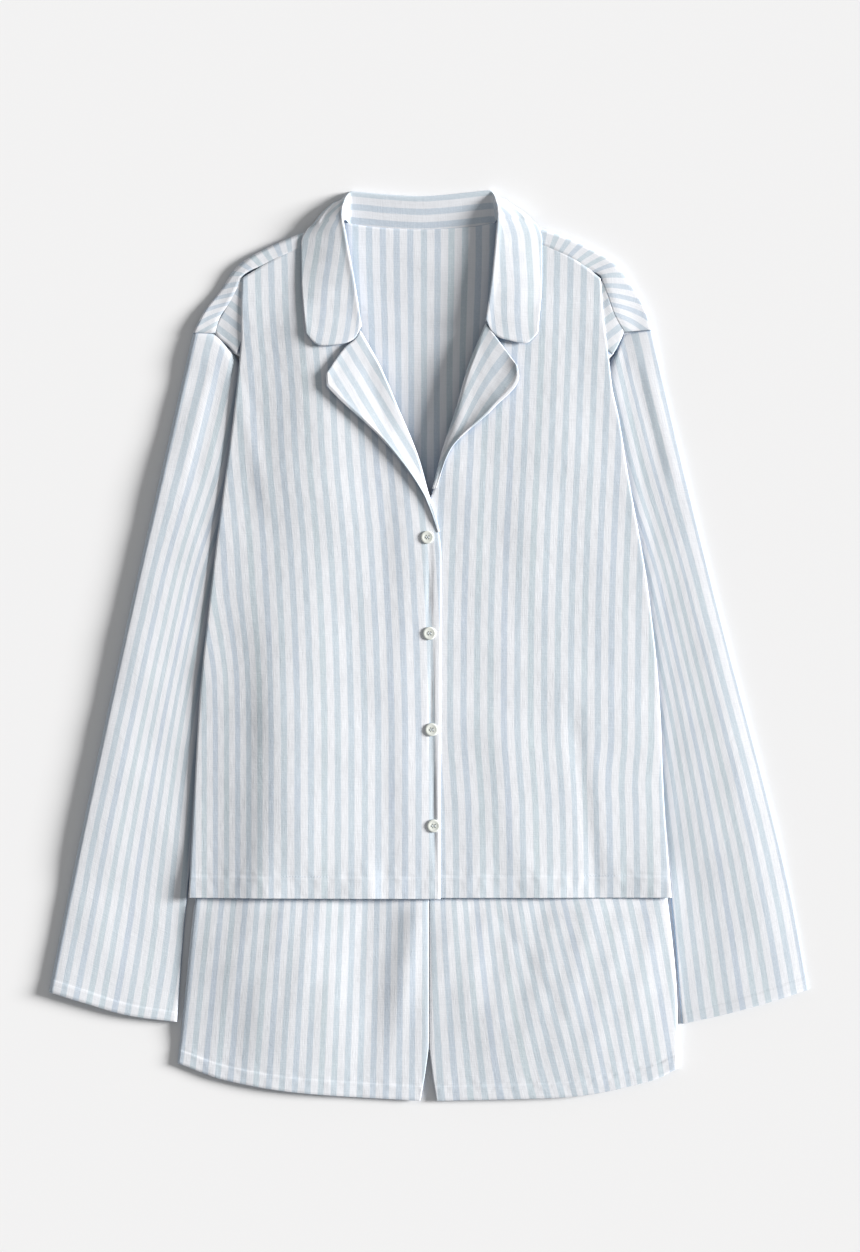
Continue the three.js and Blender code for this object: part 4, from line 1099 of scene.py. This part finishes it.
def shorts_leg(word):
    """One leg of the shorts: the back lies on the surface, the front on it, and the front's
    side edge is rolled down round the back's."""
    side = SIDES[word]
    sign = side["sign"]
    outer, inner = through(side["shorts_side"][::-1]), through(side["inseam"][::-1])
    top = straight(outer(1.0), inner(1.0))
    hem = leg_hem(side)
    shorts_hem = in_mm("shorts_hem")
    v = shares(130, (shorts_hem / LEG_LENGTH, 0.012, 9))
    radius = 2.2
    plan, drop = side_rolled([hem, top, outer, inner], shares(86, (1, 0.01, 4)), v, radius,
                             (-60, 75))
    x, y = plan[..., 0], plan[..., 1]
    distance = v[:, None] * LEG_LENGTH
    seam = -0.35 * np.exp(-(np.abs(x) / 2.2) ** 2)
    pucker = rumple(x, y, 0.16, 12, 6) * np.exp(-((distance - 10) / 13) ** 2)
    height = leg_height(x, y, distance) + hem_profile(distance, shorts_hem) + seam + pucker
    # The roll is stretched so that its lowest point comes down to the back.
    fall = (height[:, [ROLL_COLUMNS]] - 1.1) / drop.max()
    height = height - drop * fall * smooth((-200 - y) / 30)
    points = raised(plan, height)
    cloth_piece(f"leg_front_{word}", points, rolled_uv(points, shorts_stripes(x, y, sign), sign),
                shorts_shirting(), [f"shorts_front_{word}"])
    inside = through([[x - sign * 2.1, y] for x, y in side["shorts_side"][::-1]])
    back_hem = lambda u: hem(u) + np.array([0, 1.2])
    plan = patch(back_hem, top, inside, inner, np.linspace(0, 1, 41), np.linspace(0, 1, 61))
    points = raised(plan, np.full(plan.shape[:2], HALF_LAYER))
    uv = np.stack([shorts_stripes(plan[..., 0], plan[..., 1], sign), plan[..., 1]], axis=-1)
    cloth_piece(f"leg_back_{word}", points, uv, shorts_shirting(),
                [f"shorts_back_{word}"])


def waistband():
    """The shorts' waist: a flat casing gathered on its elastic, under the shirt. The gathers
    are small waves across it."""
    low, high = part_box("shorts_waistband")
    x0, y0 = np.array(low[:2]) / MM - SHIFT
    x1, y1 = np.array(high[:2]) / MM - SHIFT
    x = np.linspace(x0 + 1, x1 - 1, 261)
    profile_y = np.array([y0 + 1, *np.linspace(y0 + 2, y1 - 2, 9), y1 - 1])
    top = np.stack(np.broadcast_arrays(x[:, None], profile_y, 2.2), axis=-1).copy()
    top[..., 2] += 0.25 * np.sin(x / 1.7)[:, None] * np.sin(np.linspace(0, np.pi, 11))
    under = top[:, ::-1].copy()
    under[..., 2] = HALF_LAYER
    points = np.concatenate([top, under], axis=1)
    uv = np.stack([points[..., 0] * 1.4, points[..., 1]], axis=-1)
    cloth_piece("waist_casing", points, uv, shorts_shirting(),
                ["shorts_waistband"],
                closed=True)


# ---------------------------------------------------------------- buttons and stitching


HOLE_REACH = 0.185  # from a button's middle to a hole's, across and along, by its radius


def turned_button(centre, radius, seat):
    """A turned disc on a polar grid: its height is a profile of the radius (rim, dished middle)
    less a steep pit, 1 mm deep, at each of four holes."""
    share = np.concatenate([np.linspace(0, 0.5, 26), np.linspace(0.53, 1, 18)])
    turn = np.linspace(0, 2 * np.pi, 73)[:-1]
    profile = track([0, 0.45, 0.56, 0.66, 0.8, 0.93, 1], [1.72, 1.75, 1.8, 1.92, 1.96, 1.76, 1.12])
    x = radius * share[:, None] * np.cos(turn)
    y = radius * share[:, None] * np.sin(turn)
    reach, hole = HOLE_REACH * radius, 0.13 * radius
    distance = np.hypot(np.abs(x) - reach, np.abs(y) - reach)
    top = profile(share)[:, None] - 1 + smooth((distance - hole * 0.8) / (hole * 0.3))
    under_share = np.array([0.99, 0.9, 0.7, 0.35, 0.0])[:, None]
    under = np.stack(np.broadcast_arrays(
        radius * under_share * np.cos(turn), radius * under_share * np.sin(turn),
        np.array([0.7, 0.2, 0.0, 0.0, 0.0])[:, None]), axis=-1)
    grid = np.concatenate([np.stack([x, y, top], axis=-1), under])
    points = grid.reshape(-1, 3) + np.array([*centre, seat])
    quads = grid_faces(*grid.shape[:2], closed=True)[:, ::-1]
    return points, quads, grid.reshape(-1, 3)[:, :2]


def bars(starts, ends, heights, wide, tall):
    """Stitches as small rounded bars from start to end: each is five rings of six points, its
    ends drawn down into the cloth."""
    along = ends - starts
    length = np.linalg.norm(along, axis=1, keepdims=True)
    along = along / length
    across = np.stack([-along[:, 1], along[:, 0]], axis=1)
    ring = np.radians(np.arange(6) * 60 + 30)
    places = np.array([0.0, 0.18, 0.5, 0.82, 1.0])
    swell = np.array([0.35, 0.85, 1.0, 0.85, 0.35])
    sink = np.array([-0.9, -0.15, 0, -0.15, -0.9])
    plan = starts[:, None, None] + (along * length)[:, None, None] * places[None, :, None, None]
    plan = plan + across[:, None, None] * (wide * swell[:, None] * np.cos(ring))[None, ..., None]
    z = heights[:, None, None] + tall * (sink[:, None] + swell[:, None] * np.sin(ring))[None]
    grid = np.concatenate([plan, z[..., None]], axis=-1)
    one = grid_faces(len(places), len(ring), closed=True)
    caps = np.array([[0, 5, 4, 3], [0, 3, 2, 1], [24, 25, 26, 27], [24, 27, 28, 29]])
    first = np.arange(len(starts)) * len(places) * len(ring)
    faces = (np.concatenate([one, caps])[None] + first[:, None, None]).reshape(-1, 4)
    uv = np.stack(np.broadcast_arrays(places[None, :, None] * length[:, None],
                                      ring[None, None] * 0.4), axis=-1)
    return grid.reshape(-1, 3), faces, uv.reshape(-1, 2)


def outward_faces(points, faces):
    """The faces, turned round where the closed mesh that they make is inside out."""
    a, b, c = (points[faces[:, i]] for i in range(3))
    d = points[faces[:, 3]]
    volume = (np.einsum("ij,ij->i", a, np.cross(b, c)).sum()
              + np.einsum("ij,ij->i", a, np.cross(c, d)).sum())
    return faces[:, ::-1] if volume < 0 else faces


def buttons():
    """The buttons, each with two bars of thread over its holes."""
    for i, (low, high) in enumerate(BUTTON_BOXES):
        centre = np.array((low + high)[:2]) / 2 / MM - SHIFT
        radius = (high - low)[1] / 2 / MM
        seat = float(front_height(*centre) + overlap_lift(*centre)) + 0.15
        points, faces, uv = turned_button(centre, radius, seat)
        new_piece(f"shirt_button_{i + 1}", points, outward_faces(points, faces), uv,
                  material_named("pearl resin", pearl_resin), [f"button_{i + 1}"])
        reach = HOLE_REACH * radius
        starts = np.array([[-reach, -reach * 1.1], [reach, -reach * 1.1]]) + centre
        ends = starts + np.array([0, reach * 2.2])
        points, faces, uv = bars(starts, ends, np.full(2, seat + 1.75), 0.42, 0.42)
        new_piece(f"button_thread_{i + 1}", points, outward_faces(points, faces), uv,
                  material_named("white sewing thread", sewing_thread),
                  [f"button_{i + 1}"])


def stitch_line(line, height):
    """Start and end points, and heights, of stitches along a line of points."""
    pitch = in_mm("stitch_length")
    lengths = np.concatenate([[0], np.cumsum(np.linalg.norm(np.diff(line, axis=0), axis=1))])
    at = np.arange(pitch, lengths[-1] - pitch, pitch)
    point = lambda s: np.stack([np.interp(s, lengths, line[:, i]) for i in range(2)], axis=1)
    starts, ends = point(at), point(at + 0.74 * pitch)
    middle = (starts + ends) / 2
    return starts, ends, height(middle[:, 0], middle[:, 1])


def stitches(name, lines, nodes):
    """One mesh of small bars for every stitch on the lines."""
    starts, ends, heights = (np.concatenate([line[i] for line in lines]) for i in range(3))
    points, faces, uv = bars(starts, ends, heights - 0.26, 0.2, 0.24)
    new_piece(name, points, outward_faces(points, faces), uv,
              material_named("white sewing thread", sewing_thread), nodes)


def stitching():
    """Hem stitching of the shirt and the shorts."""
    t = np.linspace(0.01, 0.99, 200)
    shorts_hem = in_mm("shorts_hem")
    shirt, shorts = [], []
    for side in SIDES.values():
        sign = side["sign"]
        outer, inner = side["fold_edge"][-1], side["neck_edge"][-1]
        ends = np.array([[outer[0] - sign * 3, outer[1]], inner], float)
        line = straight(*ends)(t) + np.array([0, in_mm("shirt_hem")])
        on_front = lambda x, y, lap=sign < 0: front_height(x, y) + lap * overlap_lift(x, y) + 0.15
        shirt.append(stitch_line(line, on_front))
        on_leg = lambda x, y: leg_height(x, y, shorts_hem) + 0.15
        shorts.append(stitch_line(leg_hem(side)(t) + np.array([0, shorts_hem]), on_leg))
    stitches("shirt_hem_stitches", shirt, ["shirt_front_right", "shirt_front_left"])
    stitches("shorts_hem_stitches", shorts, ["shorts_front_right", "shorts_front_left"])


# ---------------------------------------------------------------- stage


def stage():
    """A pale surface out to the horizon, a soft low sun from the wearer's left, a dim even
    sky with a bright horizon, and the camera straight above."""
    colours = bpy.context.scene.pyjama_colours
    mesh = bpy.data.meshes.new("surface")
    reach = 40
    mesh.from_pydata([(-reach, -reach, 0), (reach, -reach, 0), (reach, reach, 0),
                      (-reach, reach, 0)], [], [(0, 1, 2, 3)])
    floor = bpy.data.objects.new("surface", mesh)
    bpy.context.scene.collection.objects.link(floor)
    material, tree, shader = new_material("matt painted board")
    grain = add_node(tree, "ShaderNodeTexNoise", values={"Scale": 900.0, "Detail": 2.0}, links={
        "Vector": add_node(tree, "ShaderNodeTexCoord").outputs["Object"]})
    bump = add_node(tree, "ShaderNodeBump", links={"Height": grain.outputs["Fac"]},
                    values={"Strength": 0.02, "Distance": 0.1 * MM})
    tree.links.new(bump.outputs["Normal"], shader.inputs["Normal"])
    shader.inputs["Base Color"].default_value = (*colours.surface, 1)
    shader.inputs["Roughness"].default_value = 1
    shader.inputs["Specular IOR Level"].default_value = 0
    mesh.materials.append(material)

    sun = bpy.data.objects.new("key", bpy.data.lights.new("key", "SUN"))
    sun.data.energy = 8.1
    sun.data.angle = math.radians(17.5)
    sun.data.color = (1.0, 0.99, 0.985)
    elevation, azimuth = math.radians(17), math.radians(8.5)
    sun.rotation_euler = (0, math.pi / 2 - elevation, azimuth)
    bpy.context.scene.collection.objects.link(sun)

    world = bpy.data.worlds.new("studio")
    bpy.context.scene.world = world
    world.use_nodes = True
    tree = world.node_tree
    tree.nodes.clear()
    direction = add_node(tree, "ShaderNodeTexCoord").outputs["Generated"]
    up = add_node(tree, "ShaderNodeSeparateXYZ", links={"Vector": direction}).outputs["Z"]
    glow = add_node(tree, "ShaderNodeMapRange", links={"Value": up},
                    values={"From Min": 0.03, "From Max": 0.22, "To Min": 0.8, "To Max": 0.31},
                    interpolation_type="SMOOTHSTEP").outputs["Result"]
    background = add_node(tree, "ShaderNodeBackground", links={"Strength": glow},
                          values={"Color": (0.98, 0.99, 1.0, 1)})
    add_node(tree, "ShaderNodeOutputWorld", links={"Surface": background.outputs[0]})

    camera = bpy.data.objects.new("camera", bpy.data.cameras.new("camera"))
    camera.data.lens = 100
    camera.data.sensor_width = 36
    frame_height = 1189.4 * MM  # how much of the surface the camera sees from top to bottom
    distance = frame_height * camera.data.lens / camera.data.sensor_width
    middle = np.array([0.95, 19.0])  # the place on the plan that it looks down on
    camera.location = (*((middle + SHIFT) * MM), distance)
    camera.data.clip_end = 200
    bpy.context.scene.collection.objects.link(camera)
    bpy.context.scene.camera = camera
    bpy.context.scene.view_settings.view_transform = "Standard"


# ---------------------------------------------------------------- operators


class PYJAMAS_OT_stage(Operator):
    """Make the surface, the light and the camera"""

    bl_idname = "pyjamas.stage"
    bl_label = "Stage"

    def execute(self, context):
        stage()
        return {"FINISHED"}


class PYJAMAS_OT_back(Operator):
    """Make the shirt back with its shoulder strips"""

    bl_idname = "pyjamas.back"
    bl_label = "Shirt back"

    def execute(self, context):
        back()
        return {"FINISHED"}


class PYJAMAS_OT_fronts(Operator):
    """Make both shirt fronts with their tucks"""

    bl_idname = "pyjamas.fronts"
    bl_label = "Shirt fronts"

    def execute(self, context):
        for word in SIDES:
            front(word)
            tuck(word)
        return {"FINISHED"}


class PYJAMAS_OT_sleeves(Operator):
    """Make both sleeves"""

    bl_idname = "pyjamas.sleeves"
    bl_label = "Sleeves"

    def execute(self, context):
        for word in SIDES:
            sleeve(word)
        return {"FINISHED"}


class PYJAMAS_OT_collar(Operator):
    """Make the collar and both lapels"""

    bl_idname = "pyjamas.collar"
    bl_label = "Collar and lapels"

    def execute(self, context):
        for word in SIDES:
            lapel(word, in_mm(f"lapel_lift_{word}"))
        collar()
        return {"FINISHED"}


class PYJAMAS_OT_shorts(Operator):
    """Make the shorts' legs and waistband"""

    bl_idname = "pyjamas.shorts"
    bl_label = "Shorts"

    def execute(self, context):
        for word in SIDES:
            shorts_leg(word)
        waistband()
        return {"FINISHED"}


class PYJAMAS_OT_trims(Operator):
    """Make the buttons and the hem stitching"""

    bl_idname = "pyjamas.trims"
    bl_label = "Buttons and stitching"

    def execute(self, context):
        buttons()
        stitching()
        return {"FINISHED"}


OPERATORS = (PYJAMAS_OT_stage, PYJAMAS_OT_sleeves, PYJAMAS_OT_shorts, PYJAMAS_OT_back,
             PYJAMAS_OT_fronts, PYJAMAS_OT_collar, PYJAMAS_OT_trims)


class PYJAMAS_PT_panel(Panel):
    """Lists the pieces, the sizes and the colours"""

    bl_idname = "PYJAMAS_PT_panel"
    bl_label = "Striped pyjama set"
    bl_space_type = "VIEW_3D"
    bl_region_type = "UI"
    bl_category = "Pyjamas"

    def draw(self, context):
        column = self.layout.column()
        for operator in OPERATORS:
            column.operator(operator.bl_idname)
        for group in (context.scene.pyjama_sizes, context.scene.pyjama_colours):
            for name in group.__annotations__:
                column.prop(group, name)


CLASSES = (PyjamaSizes, PyjamaColours, *OPERATORS, PYJAMAS_PT_panel)


def register():
    """Registers the classes and puts the sizes and colours on the scene."""
    for cls in CLASSES:
        bpy.utils.register_class(cls)
    bpy.types.Scene.pyjama_sizes = PointerProperty(type=PyjamaSizes)
    bpy.types.Scene.pyjama_colours = PointerProperty(type=PyjamaColours)


def unregister():
    """Takes them off again."""
    del bpy.types.Scene.pyjama_colours
    del bpy.types.Scene.pyjama_sizes
    for cls in reversed(CLASSES):
        bpy.utils.unregister_class(cls)


def main():
    """Makes everything in order."""
    register()
    for operator in OPERATORS:
        name = operator.bl_idname.split(".")[1]
        getattr(bpy.ops.pyjamas, name)()


if __name__ == "__main__":
    main()
